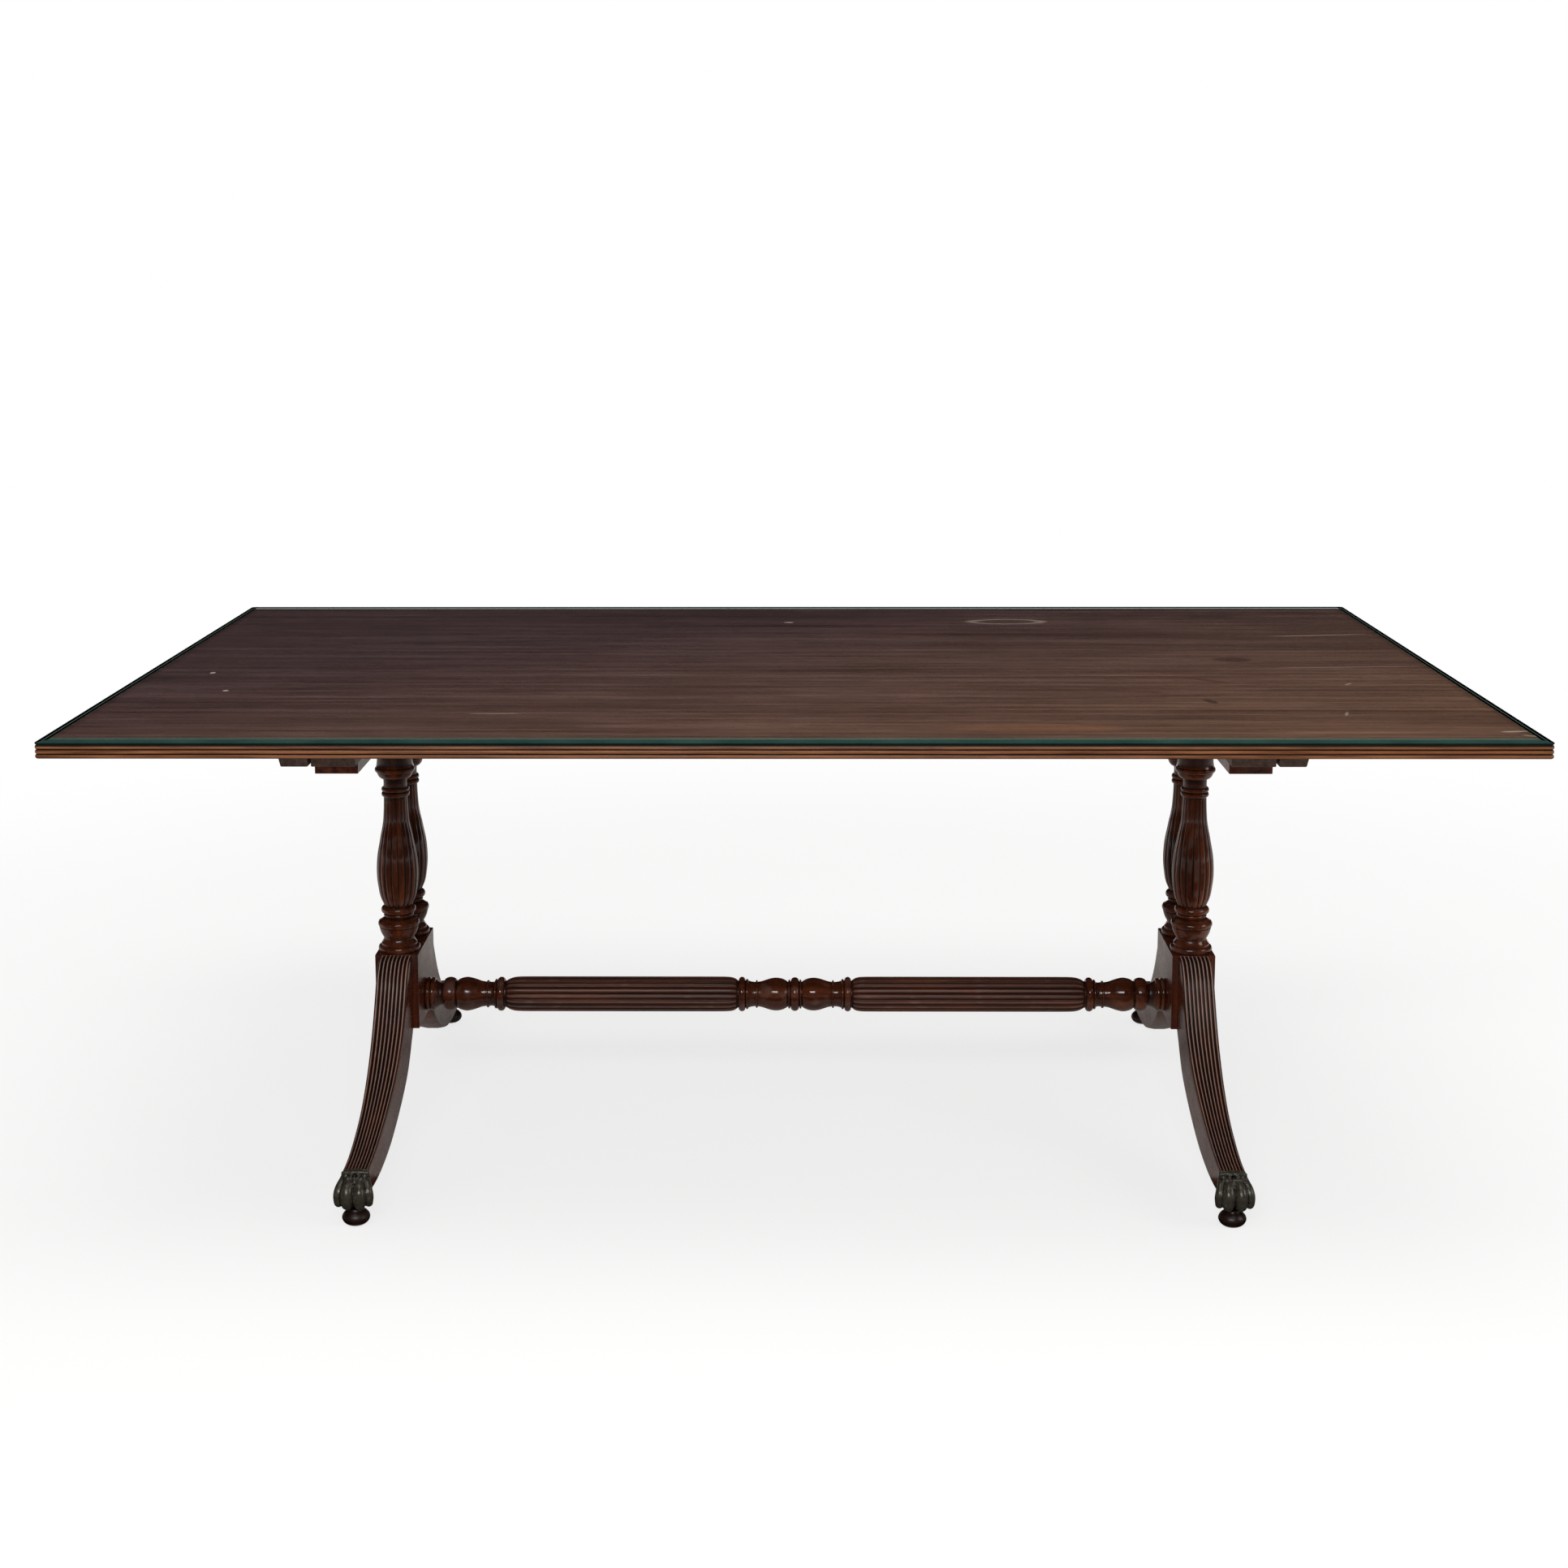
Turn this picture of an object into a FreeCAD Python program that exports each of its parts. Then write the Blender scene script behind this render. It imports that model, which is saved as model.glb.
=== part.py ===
import FreeCAD, Part
import math
import os
import Sketcher

Vector = FreeCAD.Vector

doc = FreeCAD.newDocument("BreakfastTable")

# Driving dimensions in millimetres, with the counts among them. Each is one row of the sheet.
sizes = {
    # top, glass and the timbers under them
    "table_height": 755,
    "top_length": 2050,
    "top_width": 1300,
    "top_thickness": 19,
    "top_corner_radius": 6,
    "edge_reed_count": 3,
    "edge_reed_radius": 2.9,
    "middle_board_width": 440,
    "glass_thickness": 5,
    "glass_bevel_width": 15,
    "glass_bevel_drop": 2.4,
    "batten_side_inset": 82,
    "batten_thickness": 28,
    "batten_chamfer": 2,
    "batten_shift": 5,
    "inner_batten_width": 62,
    "outer_batten_width": 41,
    "batten_gap": 4,
    "outer_bevel_width": 3,
    "outer_bevel_height": 12,
    "bearer_side_inset": 130,
    "bearer_width": 61,
    "bearer_thickness": 20,
    # trestles
    "end_overhang": 383,
    "column_offset": 49,
    "block_width": 69,
    "block_length": 164,
    "block_height": 123,
    "block_clearance_below": 168,
    "block_chamfer": 1.5,
    "joint_clearance": 0.2,
    "cut_overrun": 2,
    # turned column, from the block upwards
    "column_tenon_width": 24,
    "column_foot_tenon": 36,
    "column_head_tenon": 12,
    "base_ring_radius": 32.6,
    "base_ring_height": 9,
    "base_cove_radius": 26,
    "base_cove_height": 12,
    "cup_radius": 32.3,
    "cup_height": 21,
    "cup_rim_height": 4,
    "cup_shoulder_height": 10,
    "cup_neck_radius": 23.8,
    "lower_ring_radius": 27,
    "lower_ring_height": 18,
    "vase_radius": 33.2,
    "collar_radius": 22.4,
    "collar_bead_height": 8,
    "neck_radius": 18.8,
    "neck_height": 14,
    "capital_lip_radius": 27,
    "capital_lip_height": 6,
    "capital_radius": 32.2,
    "capital_ovolo_height": 10,
    "capital_cavetto_height": 14,
    "capital_drum_radius": 28,
    "capital_drum_height": 77,
    "reed_count": 18,
    "reed_depth": 1.9,
    "turning_sides": 18,
    # turned stretcher, from the block towards the middle
    "stretcher_height": 201,
    "stretcher_tenon_width": 24,
    "stretcher_tenon_length": 30,
    "stretcher_radius": 28.4,
    "stretcher_ring_radius": 27.6,
    "stretcher_waist_radius": 20.6,
    "stretcher_neck_radius": 18.2,
    "stretcher_groove_radius": 21.4,
    "stretcher_fillet_radius": 22.6,
    "end_bead_width": 8,
    "end_cove_width": 13,
    "end_torus_width": 20,
    "ring_groove_width": 3,
    "outer_ball_width": 43,
    "inner_ball_width": 49,
    "waist_width": 14,
    "ring_flare_width": 10,
    "ring_width": 10,
    "inner_flare_width": 20,
    "middle_ring_width": 14,
    "reed_end_width": 36,
    # sabre leg, paw cap and bun foot
    "leg_reach": 393,
    "leg_root_width": 50,
    "ankle_width": 37.5,
    "leg_reed_count": 8,
    "leg_reed_depth": 1.6,
    "leg_tenon_width": 20,
    "leg_tenon_height": 50,
    "leg_tenon_length": 28,
    "leg_tenon_lift": 24,
    "ankle_stub_length": 18,
    "ankle_stub_inset": 8,
    "collar_thickness": 7,
    "collar_proud": 2.2,
    "paw_length": 43,
    "paw_width": 54,
    "foot_height": 24,
    "foot_radius": 20.5,
    "foot_rest_radius": 13,
    "foot_neck_radius": 11,
    "foot_spigot_width": 9,
    "foot_spigot_length": 7,
}

sheet = doc.addObject("Spreadsheet::Sheet", "Sizes")
for row, (alias, value) in enumerate(sizes.items(), 1):
    sheet.set("A%d" % row, alias)
    sheet.set("B%d" % row, str(value))
    sheet.setAlias("B%d" % row, alias)
doc.recompute()


def cells(expression):
    # an expression in plain aliases, as the sheet's own cells
    return " ".join("Sizes." + word if word in sizes else word for word in expression.split())


def size(expression):
    return float(sheet.evalExpression(cells(expression)))


def count(alias):
    return int(round(size(alias)))


def bind(item, **expressions):
    for name, expression in expressions.items():
        item.setExpression(name, cells(expression))


def place(item, x="0", y="0", z="0"):
    for axis, expression in (("x", x), ("y", y), ("z", z)):
        item.setExpression("Placement.Base." + axis, cells(expression))


# Heights above the floor and other sums of cells. The vase takes up what height the rest leaves.
block_base = "block_clearance_below"
block_top = block_base + " + block_height"
lower_turning = ("base_ring_height + base_cove_height + cup_height + cup_rim_height"
                 " + cup_shoulder_height + lower_ring_height")
upper_turning = ("2 * collar_bead_height + neck_height + capital_lip_height + capital_ovolo_height"
                 " + capital_cavetto_height + capital_drum_height")
glass_base = "table_height - glass_thickness"
top_base = glass_base + " - top_thickness"
batten_base = top_base + " - batten_thickness"
bearer_base = batten_base + " - bearer_thickness"
vase_height = bearer_base + " - ( " + block_top + " + " + lower_turning + " + " + upper_turning + " )"
trestle = "( top_length / 2 - end_overhang )"
batten_length = "top_width - 2 * batten_side_inset"
bearer_length = "top_width - 2 * bearer_side_inset"
ends = {"left": "-1", "right": "1"}
sides = {"front": "-1", "rear": "1"}


# Helpers for bodies made from sketches

def new_body(name):
    body = doc.addObject("PartDesign::Body", name)
    body.Label = name
    return body


def new_sketch(body, role):
    sketch = body.newObject("Sketcher::SketchObject", body.Name + "_sketch")
    plane = [item for item in body.Origin.OriginFeatures if item.Role == role][0]
    sketch.AttachmentSupport = [(plane, "")]
    sketch.MapMode = "FlatFace"
    return sketch


def draw_rectangle(sketch, wide, deep, lift="0"):
    # four sides about the sketch's vertical axis, from half the depth below the lift to half above it
    half, low, high = size(wide) / 2, size(lift) - size(deep) / 2, size(lift) + size(deep) / 2
    corners = [Vector(-half, low), Vector(half, low), Vector(half, high), Vector(-half, high)]
    first = sketch.GeometryCount
    sketch.addGeometry([Part.LineSegment(corners[i], corners[(i + 1) % 4]) for i in range(4)])
    rules = [Sketcher.Constraint("Coincident", first + i, 2, first + (i + 1) % 4, 1) for i in range(4)]
    rules += [Sketcher.Constraint("Horizontal", first + 2)]
    rules += [Sketcher.Constraint("Vertical", first + 1), Sketcher.Constraint("Vertical", first + 3)]
    rules += [Sketcher.Constraint("Symmetric", first, 1, first, 2, -2)]
    sketch.addConstraint(rules)
    for kind, line, value in (("DistanceX", first, wide), ("DistanceY", first + 1, deep)):
        rule = sketch.addConstraint(Sketcher.Constraint(kind, line, 1, line, 2, size(value)))
        sketch.setExpression("Constraints[%d]" % rule, cells(value))
    rule = sketch.addConstraint(Sketcher.Constraint("DistanceY", -1, 1, first + 1, 2, high))
    sketch.setExpression("Constraints[%d]" % rule, cells(lift + " + ( " + deep + " ) / 2"))


def pad(body, sketch, length):
    feature = body.newObject("PartDesign::Pad", body.Name + "_pad")
    feature.Profile = sketch
    bind(feature, Length=length)
    doc.recompute()
    return feature


def pocket(body, sketch, depth, reversed_cut):
    before = body.Shape.Volume
    feature = body.newObject("PartDesign::Pocket", body.Name + "_pocket")
    feature.Profile = sketch
    feature.Reversed = reversed_cut
    bind(feature, Length=depth)
    doc.recompute()
    if not body.Shape.Volume < before:
        raise RuntimeError(body.Name + ": the pocket misses the solid")
    return feature


def edges_where(shape, test):
    return ["Edge%d" % (i + 1) for i, edge in enumerate(shape.Edges) if test(edge.BoundBox)]


def upright(box):
    return box.ZLength > max(box.XLength, box.YLength)


def level(box):
    return not upright(box)


def crosswise(box):
    return box.XLength > max(box.YLength, box.ZLength)


def lengthwise(box):
    return box.YLength > max(box.XLength, box.ZLength)


def fillet(body, base, names, radius):
    feature = body.newObject("PartDesign::Fillet", body.Name + "_fillet")
    feature.Base = (base, names)
    bind(feature, Radius=radius)
    doc.recompute()
    return feature


def chamfer(body, base, names, first, second):
    feature = body.newObject("PartDesign::Chamfer", body.Name + "_chamfer")
    feature.Base = (base, names)
    feature.ChamferType = "Two distances"
    bind(feature, Size=first, Size2=second)
    doc.recompute()
    return feature


def new_feature(name, shape, placement=None):
    feature = doc.addObject("Part::Feature", name)
    feature.Label = name
    feature.Shape = shape
    if placement:
        feature.Placement = placement
    return feature


def at(x, y, z, turn=0.0):
    return FreeCAD.Placement(Vector(x, y, z), FreeCAD.Rotation(Vector(0, 0, 1), turn))


# Glass sheet: as large as the top, with a wide ground bevel round its upper edge

def make_glass():
    body = new_body("glass_sheet")
    sketch = new_sketch(body, "XY_Plane")
    draw_rectangle(sketch, "top_length", "top_width")
    plate = pad(body, sketch, "glass_thickness")
    rim = edges_where(plate.Shape, lambda box: box.ZMin > size("glass_thickness") / 2)
    bevel = chamfer(body, plate, rim, "glass_bevel_drop", "glass_bevel_width")
    fillet(body, bevel, edges_where(bevel.Shape, upright), "top_corner_radius")
    place(body, z=glass_base)
    return body


# Top: three stacked reeds make the moulded edge, and the blank is ripped into boards

def make_edge_reed(index):
    body = new_body("edge_reed_%d" % index)
    sketch = new_sketch(body, "XY_Plane")
    draw_rectangle(sketch, "top_length", "top_width")
    layer = pad(body, sketch, "top_thickness / edge_reed_count")
    fillet(body, layer, edges_where(layer.Shape, level), "edge_reed_radius")
    place(body, z=top_base + " + %d * top_thickness / edge_reed_count" % index)
    return body


def make_board(name, blank, width, near_edge):
    strip = doc.addObject("Part::Box", name + "_strip")
    bind(strip, Length="top_length + 2 * cut_overrun", Width=width, Height="top_thickness + 2 * cut_overrun")
    place(strip, "-1 * top_length / 2 - cut_overrun", near_edge, top_base + " - cut_overrun")
    board = doc.addObject("Part::MultiCommon", name)
    board.Label = name
    board.Shapes = [blank, strip]
    board.Refine = True
    return board


def make_boards():
    blank = doc.addObject("Part::MultiFuse", "top_blank")
    blank.Shapes = [make_edge_reed(index) for index in range(count("edge_reed_count"))]
    blank.Refine = True
    outer_width = "( top_width - middle_board_width ) / 2 + cut_overrun"
    return [
        make_board("top_board_front", blank, outer_width, "-1 * top_width / 2 - cut_overrun"),
        make_board("top_board_middle", blank, "middle_board_width", "-1 * middle_board_width / 2"),
        make_board("top_board_rear", blank, outer_width, "middle_board_width / 2"),
    ]


# Battens under each end of the top, and the bearer that each pair of columns is tenoned into

def make_plank(name, width, length, thickness, sloped_side=0):
    # the long side that faces the sign of sloped_side leans in towards the floor
    body = new_body(name)
    sketch = new_sketch(body, "XY_Plane")
    draw_rectangle(sketch, width, length)
    plank = pad(body, sketch, thickness)
    if sloped_side:
        leaning = edges_where(plank.Shape, lambda box: lengthwise(box) and box.ZMax < size(thickness) / 2
                              and box.XMin * sloped_side > 0)
        plank = chamfer(body, plank, leaning, "outer_bevel_height", "outer_bevel_width")
    lower = edges_where(plank.Shape, lambda box: box.ZMax < size("batten_chamfer"))
    chamfer(body, plank, lower, "batten_chamfer", "batten_chamfer")
    return body


def make_battens(end):
    # the inner batten lies a little inside the trestle, and the outer one has a sloped outer face
    inner = make_plank("inner_batten_" + end, "inner_batten_width", batten_length, "batten_thickness")
    outer = make_plank("outer_batten_" + end, "outer_batten_width", batten_length, "batten_thickness",
                       int(ends[end]))
    inner_place = trestle + " - batten_shift"
    step = "inner_batten_width / 2 + batten_gap + outer_batten_width / 2"
    place(inner, ends[end] + " * ( " + inner_place + " )", z=batten_base)
    place(outer, ends[end] + " * ( " + inner_place + " + " + step + " )", z=batten_base)
    return [inner, outer]


def make_bearer(end):
    body = make_plank("bearer_" + end, "bearer_width", bearer_length, "bearer_thickness")
    mortise = "column_tenon_width + 2 * joint_clearance"
    for sign in sides.values():
        sketch = new_sketch(body, "XY_Plane")
        draw_rectangle(sketch, mortise, mortise, sign + " * column_offset")
        pocket(body, sketch, "column_head_tenon + joint_clearance", True)
    place(body, ends[end] + " * " + trestle, z=bearer_base)
    return body


# Base blocks, mortised for two columns, two legs and the stretcher

def make_block(end):
    body = new_body("base_block_" + end)
    sketch = new_sketch(body, "XY_Plane")
    draw_rectangle(sketch, "block_width", "block_length")
    blank = pad(body, sketch, "block_height")
    chamfer(body, blank, edges_where(blank.Shape, crosswise), "block_chamfer", "block_chamfer")
    mortise = "column_tenon_width + 2 * joint_clearance"
    for side, sign in sides.items():
        column = new_sketch(body, "XY_Plane")
        column.setExpression("AttachmentOffset.Base.z", cells("block_height"))
        draw_rectangle(column, mortise, mortise, sign + " * column_offset")
        pocket(body, column, "column_foot_tenon + joint_clearance", False)
        leg = new_sketch(body, "XZ_Plane")
        leg.setExpression("AttachmentOffset.Base.z", cells("-1 * " + sign + " * block_length / 2"))
        draw_rectangle(leg, "leg_tenon_width + 2 * joint_clearance", "leg_tenon_height + 2 * joint_clearance",
                       "leg_tenon_lift + leg_tenon_height / 2")
        pocket(body, leg, "leg_tenon_length + joint_clearance", side == "rear")
    mortise = "stretcher_tenon_width + 2 * joint_clearance"
    stretcher = new_sketch(body, "YZ_Plane")
    stretcher.setExpression("AttachmentOffset.Base.z", cells("-1 * " + ends[end] + " * block_width / 2"))
    draw_rectangle(stretcher, mortise, mortise, "stretcher_height - block_clearance_below")
    pocket(body, stretcher, "stretcher_tenon_length + joint_clearance", end == "right")
    place(body, ends[end] + " * " + trestle, z=block_base)
    return body


# Turned, reeded and carved work: rings of points joined by a skin of flats

def skin(rings):
    outlines = [rings[0], rings[-1]]
    for low, high in zip(rings, rings[1:]):
        for i in range(len(low)):
            j = (i + 1) % len(low)
            outlines += [[low[i], low[j], high[j]], [low[i], high[j], high[i]]]
    faces = [Part.Face(Part.makePolygon(outline + outline[:1])) for outline in outlines]
    solid = Part.Solid(Part.Shell(faces))
    if solid.Volume < 0:
        solid.reverse()
    return solid.removeSplitter()


def round_ring(radius, along):
    sides_round = count("turning_sides")
    turns = [2 * math.pi * (i + 0.5) / sides_round for i in range(sides_round)]
    return [Vector(radius * math.cos(turn), radius * math.sin(turn), along) for turn in turns]


def reeded_ring(radius, along):
    # crests at the radius and grooves between them, both scaled alike so that every flat stays flat
    reeds = count("reed_count")
    groove = radius * (1 - size("reed_depth / vase_radius"))
    points = []
    for i in range(2 * reeds):
        turn = math.pi * i / reeds
        distance = groove if i % 2 else radius
        points.append(Vector(distance * math.cos(turn), distance * math.sin(turn), along))
    return points


class Turning:
    # an outline walked along the axis: straight runs, beads and two-flat curves
    def __init__(self, radius, along):
        self.points = [(radius, along)]

    def to(self, radius, step=0.0):
        if step or radius != self.points[-1][0]:
            self.points.append((radius, self.points[-1][1] + step))

    def curve(self, radius, step, middle_radius, middle_share=0.5):
        self.to(middle_radius, step * middle_share)
        self.to(radius, step * (1 - middle_share))

    def bead(self, crest, step, end=None):
        start = self.points[-1][0]
        self.curve(start if end is None else end, step, crest)

    def along(self):
        return self.points[-1][1]

    def solid(self):
        return skin([round_ring(radius, along) for radius, along in self.points])


def between(first, second, share):
    return first + (second - first) * share


def square_tenon(width, base, length):
    return Part.makeBox(width, width, length, Vector(-width / 2, -width / 2, base))


# Vase of the column: height and radius shares from the lower ring up to the double collar
vase_shares = [(0.0, 0.67), (0.066, 0.816), (0.17, 0.935), (0.3, 1.0), (0.4, 0.98),
               (0.58, 0.834), (0.75, 0.652), (1.0, 0.567)]
# How far out the middle of the base's cove lies, of the step from its neck to the ring
cove_share = 0.3


def column_shape():
    tenon = size("column_tenon_width")
    foot = Turning(size("base_ring_radius"), 0.0)
    cove, cup, neck = size("base_cove_radius"), size("cup_radius"), size("cup_neck_radius")
    vase = size("vase_radius")
    foot.to(size("base_ring_radius"), size("base_ring_height"))
    foot.curve(cove, size("base_cove_height"), between(cove, size("base_ring_radius"), cove_share))
    foot.to(cup, size("cup_height"))
    foot.to(cup, size("cup_rim_height"))
    foot.to(neck, size("cup_shoulder_height"))
    foot.bead(size("lower_ring_radius"), size("lower_ring_height"), vase * vase_shares[0][1])
    vase_foot = foot.along()
    reeding = skin([reeded_ring(vase * radius_share, vase_foot + size(vase_height) * height_share)
                    for height_share, radius_share in vase_shares])

    capital, drum, lip = size("capital_radius"), size("capital_drum_radius"), size("capital_lip_radius")
    head = Turning(size("neck_radius"), vase_foot + size(vase_height))
    head.bead(size("collar_radius"), size("collar_bead_height"))
    head.bead(size("collar_radius"), size("collar_bead_height"))
    head.to(size("neck_radius"), size("neck_height"))
    head.to(lip)
    head.to(lip, size("capital_lip_height"))
    head.to(capital, size("capital_ovolo_height"))
    head.to(drum, size("capital_cavetto_height"))
    head.to(drum, size("capital_drum_height"))
    foot_tenon = square_tenon(tenon, -size("column_foot_tenon"), size("column_foot_tenon"))
    head_tenon = square_tenon(tenon, head.along(), size("column_head_tenon"))
    return foot_tenon.fuse([foot.solid(), reeding, head.solid(), head_tenon]).removeSplitter()


# Rounded ends of the stretcher's reeding: length and radius shares
reed_end_shares = [(0.0, 0.8), (0.14, 0.93), (1.0, 1.0)]
# Where a ball is thickest along its length, and how far out its flare starts, of groove to ring
ball_peak_share = 0.4
flare_share = 0.7


def stretcher_shape():
    ring, waist = size("stretcher_ring_radius"), size("stretcher_waist_radius")
    groove, neck = size("stretcher_groove_radius"), size("stretcher_neck_radius")
    half = size(trestle + " - block_width / 2")
    end = Turning(groove, 0.0)
    end.bead(ring, size("end_bead_width"))
    end.bead(ring, size("end_bead_width"))
    end.to(neck, size("end_cove_width"))
    end.to(groove)
    end.bead(ring, size("end_torus_width"))
    end.curve(waist, size("outer_ball_width"), ring, ball_peak_share)
    end.bead(size("stretcher_fillet_radius"), size("waist_width"))
    end.to(groove, size("ring_flare_width"))
    end.bead(ring, size("ring_width"))
    end.to(groove, size("ring_groove_width"))

    inner_length = size("ring_groove_width + ring_width + inner_flare_width + waist_width + inner_ball_width"
                        " + middle_ring_width / 2")
    middle = Turning(groove, half - inner_length)
    middle.to(groove, size("ring_groove_width"))
    middle.bead(ring, size("ring_width"), between(groove, ring, flare_share))
    middle.to(waist, size("inner_flare_width"))
    middle.bead(size("stretcher_fillet_radius"), size("waist_width"))
    middle.curve(groove, size("inner_ball_width"), ring, 1 - ball_peak_share)
    middle.to(ring, size("middle_ring_width") / 2)

    reed = size("reed_end_width")
    crest = size("stretcher_radius")
    start, finish = end.along(), half - inner_length
    stations = [(start + share * reed, crest * radius_share) for share, radius_share in reed_end_shares]
    stations += [(finish - share * reed, crest * radius_share)
                 for share, radius_share in reversed(reed_end_shares)]
    reeding = skin([reeded_ring(radius, along) for along, radius in stations])
    tenon = square_tenon(size("stretcher_tenon_width"), -size("stretcher_tenon_length"),
                         size("stretcher_tenon_length"))
    half_piece = tenon.fuse([end.solid(), reeding, middle.solid()])
    other_half = half_piece.mirror(Vector(0, 0, half), Vector(0, 0, 1))
    return half_piece.fuse(other_half).removeSplitter()


# Sabre leg in its own frame: Y runs out from the block, Z is height above the floor.
# Each row pairs a point of the upper face with one of the under face, as shares of reach and of the
# block's top height, and gives the width as a share of the taper from root to ankle.
leg_shares = [
    ((0.0, 0.9966), (0.0, 0.581), 1.0),
    ((0.061, 0.981), (0.025, 0.55), 1.0),
    ((0.115, 0.921), (0.053, 0.515), 1.0),
    ((0.155, 0.835), (0.084, 0.474), 1.0),
    ((0.244, 0.67), (0.158, 0.388), 0.93),
    ((0.387, 0.51), (0.29, 0.289), 0.72),
    ((0.588, 0.381), (0.509, 0.172), 0.36),
    ((0.763, 0.313), (0.712, 0.129), 0.12),
    ((0.98, 0.2715), (0.947, 0.1375), 0.0),
]


stub_corner_share = 0.25


def leg_points(row):
    reach, rise = size("leg_reach"), size(block_top)
    upper, under, taper = row
    width = between(size("ankle_width"), size("leg_root_width"), taper)
    return (Vector(0, upper[0] * reach, upper[1] * rise), Vector(0, under[0] * reach, under[1] * rise), width)


def leg_section(row):
    # reeds across the upper face, plain sides and a flat under face
    upper, under, width = leg_points(row)
    reeds = count("leg_reed_count")
    groove = upper + (under - upper).normalize() * size("leg_reed_depth")
    corner = Vector(-width / 2, 0, 0)
    points = [(upper if i % 2 else groove) + corner * (1 - i / reeds) for i in range(2 * reeds + 1)]
    return points + [under - corner, under + corner]


def ankle_frame():
    upper, under, width = leg_points(leg_shares[-1])
    rise = (upper - under).normalize()
    forward = rise.cross(Vector(1, 0, 0))
    return (upper + under) * 0.5, forward, rise, (upper - under).Length, width


def ankle_octagon(distance, low, high, width, corner, shift=0.0):
    # a rectangle with cut corners, square to the leg at a distance past the ankle
    centre, forward, rise, depth, ankle = ankle_frame()
    base = centre + forward * distance + Vector(shift, 0, 0)
    half = width / 2
    outline = [(corner - half, low), (half - corner, low), (half, low + corner), (half, high - corner),
               (half - corner, high), (corner - half, high), (-half, high - corner), (-half, low + corner)]
    return [base + Vector(x, 0, 0) + rise * lift for x, lift in outline]


def stub_shape(clearance):
    centre, forward, rise, depth, width = ankle_frame()
    inset = size("ankle_stub_inset") - clearance
    outline = (inset - depth / 2, depth / 2 - inset, width - 2 * inset, inset * stub_corner_share)
    return skin([ankle_octagon(0, *outline), ankle_octagon(size("ankle_stub_length") + clearance, *outline)])


def leg_shape():
    sabre = skin([leg_section(row) for row in leg_shares])
    tenon = Part.makeBox(size("leg_tenon_width"), size("leg_tenon_length"), size("leg_tenon_height"),
                         Vector(-size("leg_tenon_width") / 2, -size("leg_tenon_length"),
                                size(block_base + " + leg_tenon_lift")))
    return sabre.fuse([tenon, stub_shape(0.0)]).removeSplitter()


# Paw cap in the leg's frame: a collar, a body that swells to the heel, and toes fanned across the front.
# Body rows: distance past the ankle, lowest and highest edge as shares of the paw's length, width share.
paw_body_shares = [(0.16, -0.47, 0.45, 0.72), (0.35, -0.77, 0.44, 0.82), (0.56, -0.79, 0.28, 0.87),
                   (0.77, -0.6, 0.1, 0.84)]
paw_corner_share = 0.15
# Toe rows: place along the toe, lowest and highest edge, width, from the root over the knuckle to the tip.
toe_shares = [(0.28, -0.6, 0.43, 0.8), (0.76, -0.51, 0.27, 1.0), (1.0, -0.42, 0.02, 0.74)]
# Toes across the paw: place and width as shares of its width, reach as a share of its length.
toe_set_shares = [(-0.41, 0.18, 0.84), (-0.17, 0.33, 1.0), (0.17, 0.33, 1.0), (0.41, 0.18, 0.84)]
toe_corner_share = 0.25


def toe_shape(place_share, width_share, reach_share):
    length, broad = size("paw_length"), width_share * size("paw_width")
    return skin([ankle_octagon(share * reach_share * length, low * length, high * length, wide * broad,
                               wide * broad * toe_corner_share, place_share * size("paw_width"))
                 for share, low, high, wide in toe_shares])


def paw_shape():
    centre, forward, rise, depth, width = ankle_frame()
    length, proud = size("paw_length"), size("collar_proud")
    band = (-depth / 2 - proud, depth / 2 + proud, width + 2 * proud, proud)
    collar = skin([ankle_octagon(0, *band), ankle_octagon(size("collar_thickness"), *band)])
    body = skin([ankle_octagon(share * length, low * length, high * length, wide * size("paw_width"),
                               paw_corner_share * length) for share, low, high, wide in paw_body_shares])
    paw = collar.fuse([body] + [toe_shape(*toe) for toe in toe_set_shares])
    reach = size("leg_reach")
    sole = Part.makeBox(2 * size("paw_width"), reach, reach,
                        Vector(-size("paw_width"), reach / 2, size("foot_height")))
    spigot = square_tenon(size("foot_spigot_width + 2 * joint_clearance"), size("foot_height - cut_overrun"),
                          size("foot_spigot_length + joint_clearance + cut_overrun"))
    spigot.translate(Vector(0, reach, 0))
    return paw.common(sole).cut([stub_shape(size("joint_clearance")), spigot]).removeSplitter()


# Bun foot: a flattened ball with a spigot up into the paw.
# Height shares of its lower curve, its widest band and its upper curve
bun_height_shares = (0.33, 0.25, 0.42)


def bun_shape():
    height, widest = size("foot_height"), size("foot_radius")
    bun = Turning(size("foot_rest_radius"), 0.0)
    for radius, share in zip((widest, widest, size("foot_neck_radius")), bun_height_shares):
        bun.to(radius, height * share)
    spigot = square_tenon(size("foot_spigot_width"), height, size("foot_spigot_length"))
    return bun.solid().fuse(spigot).removeSplitter()


def make_trestle_set():
    column, leg, paw, bun = column_shape(), leg_shape(), paw_shape(), bun_shape()
    made = []
    for end, end_sign in ends.items():
        x = int(end_sign) * size(trestle)
        for side, side_sign in sides.items():
            sign = int(side_sign)
            corner = "_%s_%s" % (side, end)
            root = at(x, sign * size("block_length") / 2, 0, 90 - 90 * sign)
            spot = at(x, sign * size("column_offset"), size(block_top))
            foot = at(x, sign * size("block_length / 2 + leg_reach"), 0)
            made.append(new_feature("column" + corner, column, spot))
            made.append(new_feature("leg" + corner, leg, root))
            made.append(new_feature("paw" + corner, paw, root))
            made.append(new_feature("bun_foot" + corner, bun, foot))
    return made


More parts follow.
